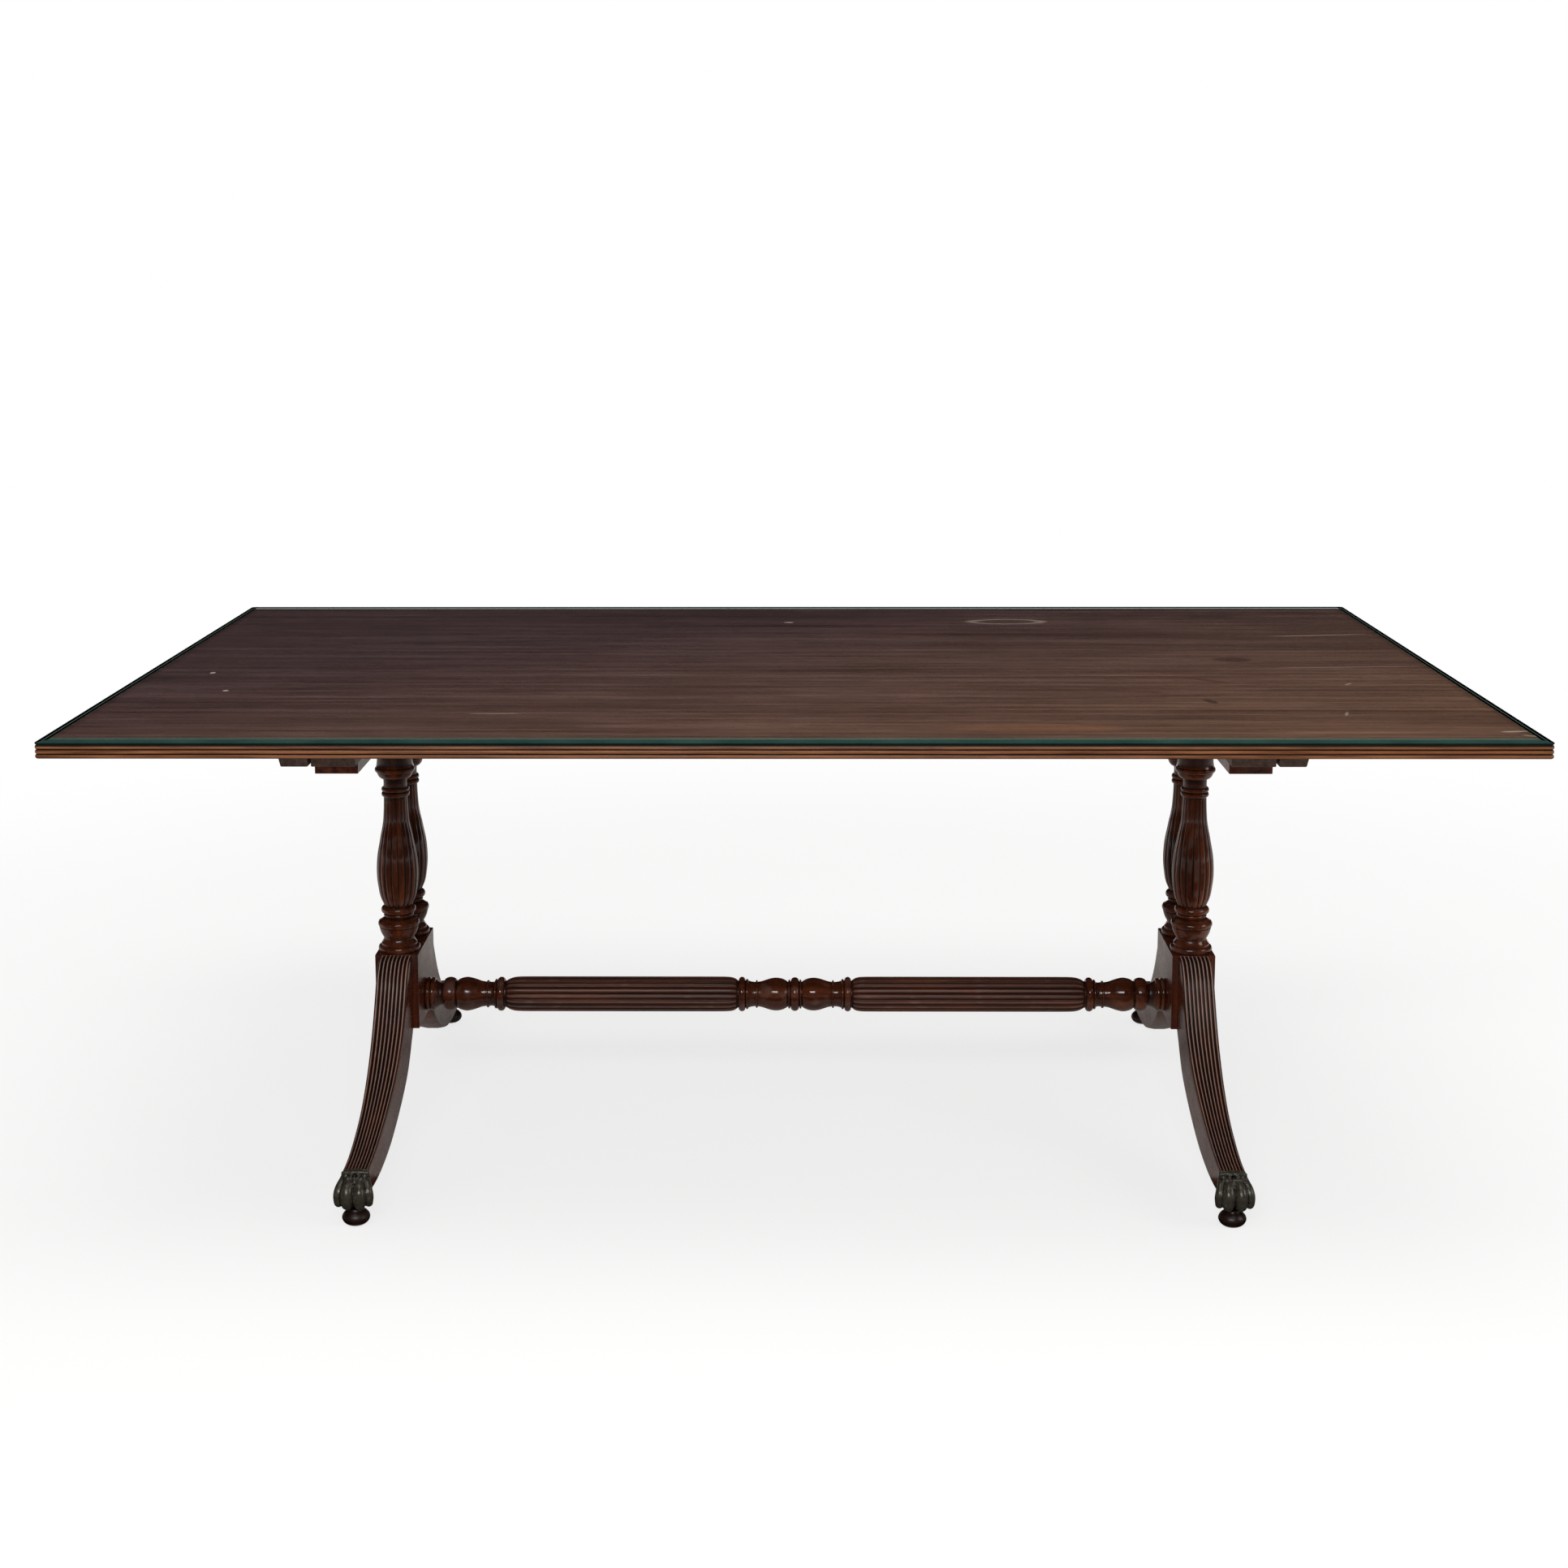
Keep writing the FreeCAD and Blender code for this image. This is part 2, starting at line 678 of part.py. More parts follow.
def make_stretcher():
    half = size(trestle + " - block_width / 2")
    lying = FreeCAD.Rotation(Vector(0, 1, 0), 90)
    return new_feature("stretcher", stretcher_shape(),
                       FreeCAD.Placement(Vector(-half, 0, size("stretcher_height")), lying))


nodes = [make_glass()] + make_boards()
for end in ends:
    nodes += make_battens(end) + [make_bearer(end), make_block(end)]
nodes.append(make_stretcher())
nodes += make_trestle_set()
doc.recompute()

for item in doc.Objects:
    if "Invalid" in item.State or "Error" in item.State:
        raise RuntimeError("%s failed: %s" % (item.Label, item.State))
for node in nodes:
    if node.Shape.isNull() or not node.Shape.isValid():
        raise RuntimeError(node.Label + " has no sound shape")

os.makedirs("parts", exist_ok=True)
for node in nodes:
    node.Shape.exportStep(os.path.join("parts", node.Label + ".step"))
    print(node.Label, len(node.Shape.Solids), round(node.Shape.Volume))
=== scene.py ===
import math
import bpy
import bmesh
from mathutils import Matrix, Vector


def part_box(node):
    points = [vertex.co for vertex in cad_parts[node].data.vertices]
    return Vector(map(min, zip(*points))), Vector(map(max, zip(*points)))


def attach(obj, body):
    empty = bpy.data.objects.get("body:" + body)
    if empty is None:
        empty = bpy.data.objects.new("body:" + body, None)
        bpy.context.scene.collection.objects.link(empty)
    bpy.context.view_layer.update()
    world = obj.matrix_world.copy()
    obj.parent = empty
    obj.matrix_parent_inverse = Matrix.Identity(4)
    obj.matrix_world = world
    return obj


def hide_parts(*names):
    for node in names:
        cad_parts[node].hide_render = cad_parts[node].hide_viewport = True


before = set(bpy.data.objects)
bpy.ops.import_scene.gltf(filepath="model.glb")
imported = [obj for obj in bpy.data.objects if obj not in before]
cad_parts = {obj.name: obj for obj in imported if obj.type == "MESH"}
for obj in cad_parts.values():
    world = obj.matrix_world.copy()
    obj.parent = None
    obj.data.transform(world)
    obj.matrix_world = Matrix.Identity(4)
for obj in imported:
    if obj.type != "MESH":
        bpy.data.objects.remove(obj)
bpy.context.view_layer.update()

print("frame loaded:", len(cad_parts), "nodes")


def linear(hexColour):
    parts = [int(hexColour[i:i + 2], 16) / 255 for i in (1, 3, 5)]
    return [c / 12.92 if c <= 0.04045 else ((c + 0.055) / 1.055) ** 2.4 for c in parts] + [1.0]


# Sockets that share a name go by number: Map Range has its from range in 1 and 2 and its to range in 3 and 4,
# and a colour Mix has its share in 0, its colours in 6 and 7 and its result in output 2.
def addNode(tree, kind, values=(), links=(), stops=(), **settings):
    made = tree.nodes.new("ShaderNode" + kind)
    for key, value in settings.items():
        setattr(made, key, value)
    for key, value in dict(values).items():
        made.inputs[key].default_value = value
    for key, source in dict(links).items():
        tree.links.new(source.outputs[0] if hasattr(source, "outputs") else source, made.inputs[key])
    if stops:  # of the two elements every ramp starts with, one goes and one takes the first stop
        made.color_ramp.elements.remove(made.color_ramp.elements[-1])
        made.color_ramp.elements[0].position, made.color_ramp.elements[0].color = stops[0]
    for place, colour in stops[1:]:
        made.color_ramp.elements.new(place).color = colour
    return made


def startMaterial(name):
    material = bpy.data.materials.new(name)
    material.use_nodes = True
    material.node_tree.nodes.clear()
    return material, material.node_tree


def grainNoise(tree, grain, sizesMm, detail, roughness, distortion=0):
    # noise drawn out along the grain, its size given in mm across the wood, through it and along it
    along = addNode(tree, "Mapping", {"Scale": [1000 / size for size in sizesMm]}, {"Vector": grain})
    return addNode(tree, "TexNoise", {"Scale": 1, "Detail": detail, "Roughness": roughness,
                                      "Distortion": distortion}, {"Vector": along})


def seenDirectly(tree):
    # 1 for camera rays and for mirrored and transmitted ones, so that glass sees what the camera sees
    rays = addNode(tree, "LightPath").outputs
    mirrored = addNode(tree, "Math", links={0: rays["Is Camera Ray"], 1: rays["Is Glossy Ray"]},
                       operation="MAXIMUM")
    return addNode(tree, "Math", links={0: mirrored, 1: rays["Is Transmission Ray"]}, operation="MAXIMUM")


# Mahogany turned on the lathe, stained and french polished: deep red brown with thin darker streaks along
# the grain, hollows darkened by wax and painted shade, pale wear on the crowns and a painted highlight on
# reed crests.
# The real pores are about 0.2 mm wide, too fine to show, so all woods here draw them coarser.
turnedLook = {
    "dark": "#2b1007", "heart": "#451f0f", "light": "#64321a", "waxAndShade": "#0a0301", "wornAndHighlit": "#c4b0a7",
    "streakMm": (15, 15, 220), "poreMm": (1.6, 1.6, 22), "rubs": 38,  # rubbed patches to the metre
    "smooth": 0.1, "rough": 0.22, "waxRough": 0.3, "shine": 0.5,
}
turnedMahogany, tree = startMaterial("mahogany_turned_french_polished")
grain = addNode(tree, "Attribute", attribute_name="grain").outputs["Vector"]
hollow = addNode(tree, "Attribute", attribute_name="hollow").outputs["Fac"]
dull = addNode(tree, "Attribute", attribute_name="dull").outputs["Fac"]
streaks = grainNoise(tree, grain, turnedLook["streakMm"], 5, 0.6, 0.4)
pores = grainNoise(tree, grain, turnedLook["poreMm"], 1, 0.5)
tone = addNode(tree, "ValToRGB", links={0: streaks}, stops=[
    (0.28, linear(turnedLook["dark"])), (0.5, linear(turnedLook["heart"])),
    (0.74, linear(turnedLook["light"]))])
poreShade = addNode(tree, "MapRange", {1: 0.58, 2: 0.75, 3: 0, 4: 0.45}, {0: pores})
porous = addNode(tree, "Mix", {7: linear(turnedLook["dark"])}, {0: poreShade, 6: tone}, data_type="RGBA")
rubbed = addNode(tree, "TexNoise", {"Scale": turnedLook["rubs"], "Detail": 1, "Roughness": 0.5},
                 {"Vector": grain})
wearHere = addNode(tree, "MapRange", {1: 0.56, 2: 0.74, 3: 0, 4: 0.06}, {0: rubbed})
crown = addNode(tree, "MapRange", {1: 0.0, 2: 0.25, 3: 1, 4: 0}, {0: hollow})
# painted highlight: where the hollow value is below zero, on the reed crests, the colour turns pale
crestHighlight = addNode(tree, "MapRange", {1: -0.5, 2: -0.02, 3: 0.68, 4: 0}, {0: hollow})
wearAndHighlight = addNode(tree, "Math", links={0: wearHere, 1: crown, 2: crestHighlight}, operation="MULTIPLY_ADD")
wornAndHighlit = addNode(tree, "Mix", {7: linear(turnedLook["wornAndHighlit"])}, {0: wearAndHighlight, 6: porous.outputs[2]},
               data_type="RGBA")
# darkening towards the near black colour in the hollows, partly wax and partly painted shade
waxAndShadeDepth = addNode(tree, "MapRange", {1: 0.15, 2: 0.95, 3: 0, 4: 0.85}, {0: hollow})
waxedAndShaded = addNode(tree, "Mix", {7: linear(turnedLook["waxAndShade"])}, {0: waxAndShadeDepth, 6: wornAndHighlit.outputs[2]},
                data_type="RGBA")
gloss = addNode(tree, "MapRange", {1: 0.3, 2: 0.75, 3: turnedLook["smooth"], 4: turnedLook["rough"]},
                {0: rubbed})
scuffed = addNode(tree, "Math", links={0: gloss, 1: dull}, operation="ADD")
dulled = addNode(tree, "Math", {1: turnedLook["waxRough"]}, {0: waxAndShadeDepth, 2: scuffed},
                 operation="MULTIPLY_ADD")
shine = addNode(tree, "Math", {0: turnedLook["shine"]}, {1: dull}, operation="SUBTRACT")
skin = addNode(tree, "BsdfPrincipled", {"IOR": 1.5},
               {"Base Color": waxedAndShaded.outputs[2], "Roughness": dulled, "Specular IOR Level": shine})
addNode(tree, "OutputMaterial", links={"Surface": skin})

# The same mahogany sawn and planed flat for the blocks and leg sides: fewer streaks, no turning
# wax, a greyer bloom where hands never polish it.
planedLook = {
    "dark": "#2a0e06", "heart": "#4c1f0e", "light": "#6c3118", "bloom": "#665049",
    "streakMm": (9, 9, 190), "poreMm": (1.6, 1.6, 26), "dulls": 16,  # dull patches to the metre
    "smooth": 0.2, "rough": 0.36,
}
planedMahogany, tree = startMaterial("mahogany_planed_french_polished")
grain = addNode(tree, "Attribute", attribute_name="grain").outputs["Vector"]
streaks = grainNoise(tree, grain, planedLook["streakMm"], 5, 0.6, 0.6)
pores = grainNoise(tree, grain, planedLook["poreMm"], 3, 0.5)
tone = addNode(tree, "ValToRGB", links={0: streaks}, stops=[
    (0.3, linear(planedLook["dark"])), (0.52, linear(planedLook["heart"])),
    (0.76, linear(planedLook["light"]))])
poreShade = addNode(tree, "MapRange", {1: 0.56, 2: 0.75, 3: 0, 4: 0.5}, {0: pores})
porous = addNode(tree, "Mix", {7: linear(planedLook["dark"])}, {0: poreShade, 6: tone}, data_type="RGBA")
patches = addNode(tree, "TexNoise", {"Scale": planedLook["dulls"], "Detail": 5, "Roughness": 0.7},
                  {"Vector": grain})
bloomHere = addNode(tree, "MapRange", {1: 0.5, 2: 0.8, 3: 0.0, 4: 0.22}, {0: patches})
bloomed = addNode(tree, "Mix", {7: linear(planedLook["bloom"])}, {0: bloomHere, 6: porous.outputs[2]},
                  data_type="RGBA")
gloss = addNode(tree, "MapRange", {1: 0.3, 2: 0.75, 3: planedLook["smooth"], 4: planedLook["rough"]},
                {0: patches})
relief = addNode(tree, "Bump", {"Strength": 0.12, "Distance": 0.0003}, {"Height": pores})
skin = addNode(tree, "BsdfPrincipled", {"IOR": 1.5},
               {"Base Color": bloomed.outputs[2], "Roughness": gloss, "Normal": relief})
addNode(tree, "OutputMaterial", links={"Surface": skin})

# Mahogany boards planed flat and polished for the top: long straight figure, fine dark pores,
# a painted cool shade over the back left that fades towards the front right, and marks of use under the
# glass.
topLook = {
    "dark": "#493127", "heart": "#6c4d3f", "light": "#8e6c58", "pore": "#36231d", "coolShadeTint": "#a0a9e8",
    "bandMm": (55, 55, 1500), "streakMm": (13, 13, 420), "poreMm": (3.5, 3.5, 70),
    "clouds": 4.5, "frays": 60,  # cloudy patches, and frayed edges of marks, to the metre
    "coolShadeWays": (0.32, -0.5, 0), "ringFray": 0.16, "markFray": 0.5, "smooth": 0.34, "rough": 0.5,
}
# name: x and y in mm, turn in degrees, half length, half width, colour, strength, ring or filled
topMarks = {
    "ovalRing": (381, 481, 0, 78, 34, "#b5a397", 0.6, True),
    "backChip": (-12, 472, 0, 10, 8, "#c9b4a6", 0.65, False),
    "leftScratch": (-431, -417, 0, 44, 3, "#a58f82", 0.7, False),
    "moistPatch": (343, -526, 0, 140, 32, "#8f5f40", 0.35, False),
    "squarePatch": (-375, -497, 0, 115, 45, "#4a352d", 0.5, False),
    "speckOne": (-924, -69, 0, 5, 8, "#d8ccc2", 0.6, False),
    "speckTwo": (-865, -230, 0, 5, 7, "#d8ccc2", 0.6, False),
    "hookMark": (617, -318, 15, 9, 22, "#33251f", 0.7, False),
    "brownStreak": (640, -135, -40, 52, 9, "#5a352a", 0.7, False),
    "brownSmudge": (716, 58, 0, 36, 26, "#46302a", 0.7, False),
    "frontCurl": (1000, -551, 8, 26, 4.5, "#cdbcae", 0.65, False),
    "cornerGlint": (1022, -585, -25, 24, 7, "#b5a192", 0.7, False),
    "paleTick": (853, -172, 55, 13, 3, "#b5a193", 0.55, False),
    "paleNick": (796, -420, 75, 20, 3, "#b09b8d", 0.5, False),
    "seamLine": (887, -14, 3.3, 135, 3.5, "#9a8078", 0.7, False),
    "crackLine": (914, 320, 8, 98, 4.5, "#b59b8e", 0.7, False),
    "backShade": (760, 547, 0, 60, 20, "#3a2d30", 0.5, False),
}
topMahogany, tree = startMaterial("mahogany_boards_planed_polished")
grain = addNode(tree, "Attribute", attribute_name="grain").outputs["Vector"]
onTop = addNode(tree, "TexCoord").outputs["Object"]
bands = grainNoise(tree, grain, topLook["bandMm"], 4, 0.55, 0.3)
streaks = grainNoise(tree, grain, topLook["streakMm"], 6, 0.62, 0.3)
pores = grainNoise(tree, grain, topLook["poreMm"], 3, 0.6)
figure = addNode(tree, "Mix", {0: 0.7}, {2: bands, 3: streaks}, data_type="FLOAT")
tone = addNode(tree, "ValToRGB", links={0: figure}, stops=[
    (0.3, linear(topLook["dark"])), (0.5, linear(topLook["heart"])), (0.72, linear(topLook["light"]))])
poreShade = addNode(tree, "MapRange", {1: 0.52, 2: 0.7, 3: 0, 4: 0.6}, {0: pores})
porous = addNode(tree, "Mix", {7: linear(topLook["pore"])}, {0: poreShade, 6: tone}, data_type="RGBA")
# painted shade: a cool tint multiplied in, strongest at the back left
cornerWays = addNode(tree, "VectorMath", {1: topLook["coolShadeWays"]}, {0: onTop}, operation="DOT_PRODUCT")
coolShadeHere = addNode(tree, "MapRange", {1: -0.25, 2: 0.5, 3: 0.75, 4: 0.0}, {0: cornerWays.outputs["Value"]})
coolShaded = addNode(tree, "Mix", {7: linear(topLook["coolShadeTint"])}, {0: coolShadeHere, 6: porous.outputs[2]},
                data_type="RGBA", blend_type="MULTIPLY")
cloudy = addNode(tree, "TexNoise", {"Scale": topLook["clouds"], "Detail": 5, "Roughness": 0.65},
                 {"Vector": onTop})
frayed = addNode(tree, "TexNoise", {"Scale": topLook["frays"], "Detail": 3}, {"Vector": onTop})
coloured = coolShaded.outputs[2]
for x, y, turn, halfLong, halfWide, colour, strength, ring in topMarks.values():
    place = addNode(tree, "Mapping", {"Location": (x / 1000, y / 1000, 0),
                                      "Rotation": (0, 0, math.radians(turn)),
                                      "Scale": (halfLong / 1000, halfWide / 1000, 1000)},
                    {"Vector": onTop}, vector_type="TEXTURE")
    reach = addNode(tree, "VectorMath", links={0: place}, operation="LENGTH").outputs["Value"]
    swing = topLook["ringFray"] if ring else topLook["markFray"]
    ragged = addNode(tree, "Math", {1: swing, 2: -swing / 2}, {0: frayed}, operation="MULTIPLY_ADD")
    edge = addNode(tree, "Math", links={0: reach, 1: ragged}, operation="ADD")
    none, full = (0, 0, 0, 1), [strength] * 3 + [1]
    amount = addNode(tree, "ValToRGB", links={0: edge}, stops=(
        [(0.62, none), (0.8, full), (1.0, none)] if ring else [(0.7, full), (1.0, none)]))
    marked = addNode(tree, "Mix", {7: linear(colour)}, {0: amount, 6: coloured}, data_type="RGBA")
    coloured = marked.outputs[2]
gloss = addNode(tree, "MapRange", {1: 0.3, 2: 0.7, 3: topLook["smooth"], 4: topLook["rough"]}, {0: cloudy})
relief = addNode(tree, "Bump", {"Strength": 0.1, "Distance": 0.0003}, {"Height": pores})
skin = addNode(tree, "BsdfPrincipled", {"IOR": 1.5, "Specular IOR Level": 0.2},
               {"Base Color": coloured, "Roughness": gloss, "Normal": relief})
addNode(tree, "OutputMaterial", links={"Surface": skin})

# The reeded edge of the boards, worn by sleeves to a lighter orange brown, its grooves darkened by wax and
# painted shade, and a painted shadow of the glass rim along its top.
edgeLook = {"dark": "#502c18", "light": "#945d38", "waxAndShade": "#140602", "streakMm": (3, 3, 90),
            "smooth": 0.3, "rough": 0.46}
edgeMahogany, tree = startMaterial("mahogany_reeded_edge_waxed")
grain = addNode(tree, "Attribute", attribute_name="grain").outputs["Vector"]
hollow = addNode(tree, "Attribute", attribute_name="hollow").outputs["Fac"]
streaks = grainNoise(tree, grain, edgeLook["streakMm"], 5, 0.6)
tone = addNode(tree, "ValToRGB", links={0: streaks}, stops=[
    (0.3, linear(edgeLook["dark"])), (0.72, linear(edgeLook["light"]))])
# darkening towards the wax colour: wax and painted shade in the grooves, painted shadow under the glass rim
waxAndShadeDepth = addNode(tree, "MapRange", {1: 0.12, 2: 0.5, 3: 0, 4: 0.98}, {0: hollow})
waxedAndShaded = addNode(tree, "Mix", {7: linear(edgeLook["waxAndShade"])}, {0: waxAndShadeDepth, 6: tone}, data_type="RGBA")
gloss = addNode(tree, "MapRange", {1: 0.3, 2: 0.7, 3: edgeLook["smooth"], 4: edgeLook["rough"]}, {0: streaks})
skin = addNode(tree, "BsdfPrincipled", {"IOR": 1.5, "Specular IOR Level": 0.35},
               {"Base Color": waxedAndShaded.outputs[2], "Roughness": gloss})
addNode(tree, "OutputMaterial", links={"Surface": skin})

# Plain hardwood sawn for the battens and only stained: dull, greyed brown, with saw lines.
underLook = {"dark": "#382419", "light": "#634739", "dust": "#786357", "streakMm": (6, 6, 120), "sawMm": 3.0,
             "dusts": 22, "rough": 0.55}  # dusty patches to the metre
underWood, tree = startMaterial("hardwood_sawn_stained")
grain = addNode(tree, "Attribute", attribute_name="grain").outputs["Vector"]
streaks = grainNoise(tree, grain, underLook["streakMm"], 6, 0.65, 0.4)
tone = addNode(tree, "ValToRGB", links={0: streaks}, stops=[
    (0.3, linear(underLook["dark"])), (0.72, linear(underLook["light"]))])
dusty = addNode(tree, "TexNoise", {"Scale": underLook["dusts"], "Detail": 5, "Roughness": 0.7},
                {"Vector": grain})
dustHere = addNode(tree, "MapRange", {1: 0.5, 2: 0.8, 3: 0, 4: 0.5}, {0: dusty})
dulled = addNode(tree, "Mix", {7: linear(underLook["dust"])}, {0: dustHere, 6: tone}, data_type="RGBA")
sawWays = addNode(tree, "SeparateXYZ", links={0: grain}).outputs["Z"]
sawTurns = addNode(tree, "Math", {1: 2 * math.pi / (underLook["sawMm"] / 1000)}, {0: sawWays},
                   operation="MULTIPLY")
sawLines = addNode(tree, "Math", links={0: sawTurns}, operation="SINE")
relief = addNode(tree, "Bump", {"Strength": 0.1, "Distance": 0.0003}, {"Height": sawLines})
skin = addNode(tree, "BsdfPrincipled", {"IOR": 1.5, "Roughness": underLook["rough"]},
               {"Base Color": dulled.outputs[2], "Normal": relief})
addNode(tree, "OutputMaterial", links={"Surface": skin})

# Bronze cast, chased and left to darken: black green patina, brighter rubbed metal on the knuckles.
# The patina covers most of the metal, so it is only partly metallic.
bronzeLook = {"patina": "#3a322c", "green": "#464439", "rubbed": "#857868", "grime": "#0d0b09",
              "mottles": 140, "smooth": 0.24, "rough": 0.42}  # mottled spots to the metre
patinatedBronze, tree = startMaterial("bronze_cast_patinated")
hollow = addNode(tree, "Attribute", attribute_name="hollow").outputs["Fac"]
onPaw = addNode(tree, "TexCoord").outputs["Object"]
mottle = addNode(tree, "TexNoise", {"Scale": bronzeLook["mottles"], "Detail": 5, "Roughness": 0.65},
                 {"Vector": onPaw})
tone = addNode(tree, "ValToRGB", links={0: mottle}, stops=[
    (0.35, linear(bronzeLook["patina"])), (0.6, linear(bronzeLook["green"])),
    (0.8, linear(bronzeLook["rubbed"]))])
grimeDepth = addNode(tree, "MapRange", {1: 0.08, 2: 0.6, 3: 0, 4: 0.95}, {0: hollow})
grimy = addNode(tree, "Mix", {7: linear(bronzeLook["grime"])}, {0: grimeDepth, 6: tone}, data_type="RGBA")
gloss = addNode(tree, "MapRange", {1: 0.3, 2: 0.8, 3: bronzeLook["smooth"], 4: bronzeLook["rough"]},
                {0: mottle})
relief = addNode(tree, "Bump", {"Strength": 0.2, "Distance": 0.0004}, {"Height": mottle})
skin = addNode(tree, "BsdfPrincipled", {"Metallic": 0.4, "Coat Weight": 0.15, "Coat Roughness": 0.2},
               {"Base Color": grimy.outputs[2], "Roughness": gloss, "Normal": relief})
addNode(tree, "OutputMaterial", links={"Surface": skin})

# Brass wood screws, turned and dulled: yellow brown with fine lathe dullness.
brassLook = {"dark": "#4a3a20", "light": "#8a6d3c", "spots": 500, "rough": 0.42}  # spots to the metre
dullBrass, tree = startMaterial("brass_turned_dulled")
onHead = addNode(tree, "TexCoord").outputs["Object"]
spots = addNode(tree, "TexNoise", {"Scale": brassLook["spots"], "Detail": 3}, {"Vector": onHead})
tone = addNode(tree, "ValToRGB", links={0: spots}, stops=[
    (0.35, linear(brassLook["dark"])), (0.7, linear(brassLook["light"]))])
skin = addNode(tree, "BsdfPrincipled", {"Metallic": 1.0, "Roughness": brassLook["rough"]},
               {"Base Color": tone})
addNode(tree, "OutputMaterial", links={"Surface": skin})

# Soda lime float glass, clear over the wood with a faint breath of dust. It mirrors less at a slant than
# the typical 1.5 would give: the photograph's low view still looks straight through the sheet to the wood.
glassLook = {
    "dusty": "#f3f5f4", "clean": "#fbfcfb", "body": "#0f1a16", "smears": 5,  # smears to the metre
    "slantPower": 14, "mirrorMost": 0.96, "mirrorLeast": 0.02,
    "deepDark": "#24403c", "deepLight": "#34514a", "slantTint": "#57655f", "grindings": 12,
    "rimDark": "#0c1916", "rimLight": "#14241f",
    "veilDark": "#b7cfc4", "veilLight": "#cbddd4", "veil": "#6a877c", "veilShare": 0.3, "wavers": 9,
}
floatGlass, tree = startMaterial("soda_lime_float_glass")
onGlass = addNode(tree, "TexCoord").outputs["Object"]
smears = addNode(tree, "TexNoise", {"Scale": glassLook["smears"], "Detail": 6, "Roughness": 0.7},
                 {"Vector": onGlass})
tone = addNode(tree, "ValToRGB", links={0: smears}, stops=[
    (0.35, linear(glassLook["dusty"])), (0.7, linear(glassLook["clean"]))])
through = addNode(tree, "BsdfTransparent", links={"Color": tone})
skin = addNode(tree, "BsdfPrincipled",
               {"Base Color": linear(glassLook["body"]), "IOR": 1.5, "Roughness": 0.0})
facing = addNode(tree, "LayerWeight", {"Blend": 0.5}).outputs["Facing"]
slant = addNode(tree, "Math", {1: glassLook["slantPower"]}, {0: facing}, operation="POWER")
mirror = addNode(tree, "Math", {1: glassLook["mirrorMost"], 2: glassLook["mirrorLeast"]}, {0: slant},
                 operation="MULTIPLY_ADD")
sheen = addNode(tree, "MixShader", links={0: mirror, 1: through, 2: skin})
addNode(tree, "OutputMaterial", links={"Surface": sheen})

# The ground and polished bevel of the same glass, where the long path through it shows the iron as teal.
glassEdge, tree = startMaterial("soda_lime_glass_ground_bevel")
onGlass = addNode(tree, "TexCoord").outputs["Object"]
ground = addNode(tree, "TexNoise", {"Scale": glassLook["grindings"], "Detail": 4}, {"Vector": onGlass})
tone = addNode(tree, "ValToRGB", links={0: ground}, stops=[
    (0.3, linear(glassLook["deepDark"])), (0.7, linear(glassLook["deepLight"]))])
deep = addNode(tree, "BsdfPrincipled", {"IOR": 1.5, "Roughness": 0.12, "Transmission Weight": 0.25},
               {"Base Color": tone})
clear = addNode(tree, "BsdfTransparent", {"Color": linear(glassLook["slantTint"])})
facing = addNode(tree, "LayerWeight", {"Blend": 0.5}).outputs["Facing"]
slanting = addNode(tree, "MapRange", {1: 0.72, 2: 0.84, 3: 0, 4: 1}, {0: facing})
skin = addNode(tree, "MixShader", links={0: slanting, 1: deep, 2: clear})
addNode(tree, "OutputMaterial", links={"Surface": skin})

# The ground rim of the same glass, seen through its whole length: nearly black green.
glassRim, tree = startMaterial("soda_lime_glass_ground_rim")
onGlass = addNode(tree, "TexCoord").outputs["Object"]
ground = addNode(tree, "TexNoise", {"Scale": glassLook["grindings"], "Detail": 4}, {"Vector": onGlass})
tone = addNode(tree, "ValToRGB", links={0: ground}, stops=[
    (0.3, linear(glassLook["rimDark"])), (0.7, linear(glassLook["rimLight"]))])
skin = addNode(tree, "BsdfPrincipled", {"IOR": 1.5, "Specular IOR Level": 0.08, "Roughness": 0.4},
               {"Base Color": tone})
addNode(tree, "OutputMaterial", links={"Surface": skin})

# The same glass just inside the bevel, with a painted reflection: the image of the ground edge laid as a thin
# green veil on the wood.
glassLine, tree = startMaterial("soda_lime_glass_bevel_image")
onGlass = addNode(tree, "TexCoord").outputs["Object"]
wavering = addNode(tree, "TexNoise", {"Scale": glassLook["wavers"], "Detail": 3}, {"Vector": onGlass})
tone = addNode(tree, "ValToRGB", links={0: wavering}, stops=[
    (0.3, linear(glassLook["veilDark"])), (0.7, linear(glassLook["veilLight"]))])
through = addNode(tree, "BsdfTransparent", links={"Color": tone})
skin = addNode(tree, "BsdfPrincipled",
               {"Base Color": linear(glassLook["veil"]), "IOR": 1.5, "Roughness": 0.0})
veil = addNode(tree, "MixShader", {0: glassLook["veilShare"]}, {1: through, 2: skin})
addNode(tree, "OutputMaterial", links={"Surface": veil})
print("materials made:", len(bpy.data.materials))


# Mesh helpers, all in millimetres until addPiece.


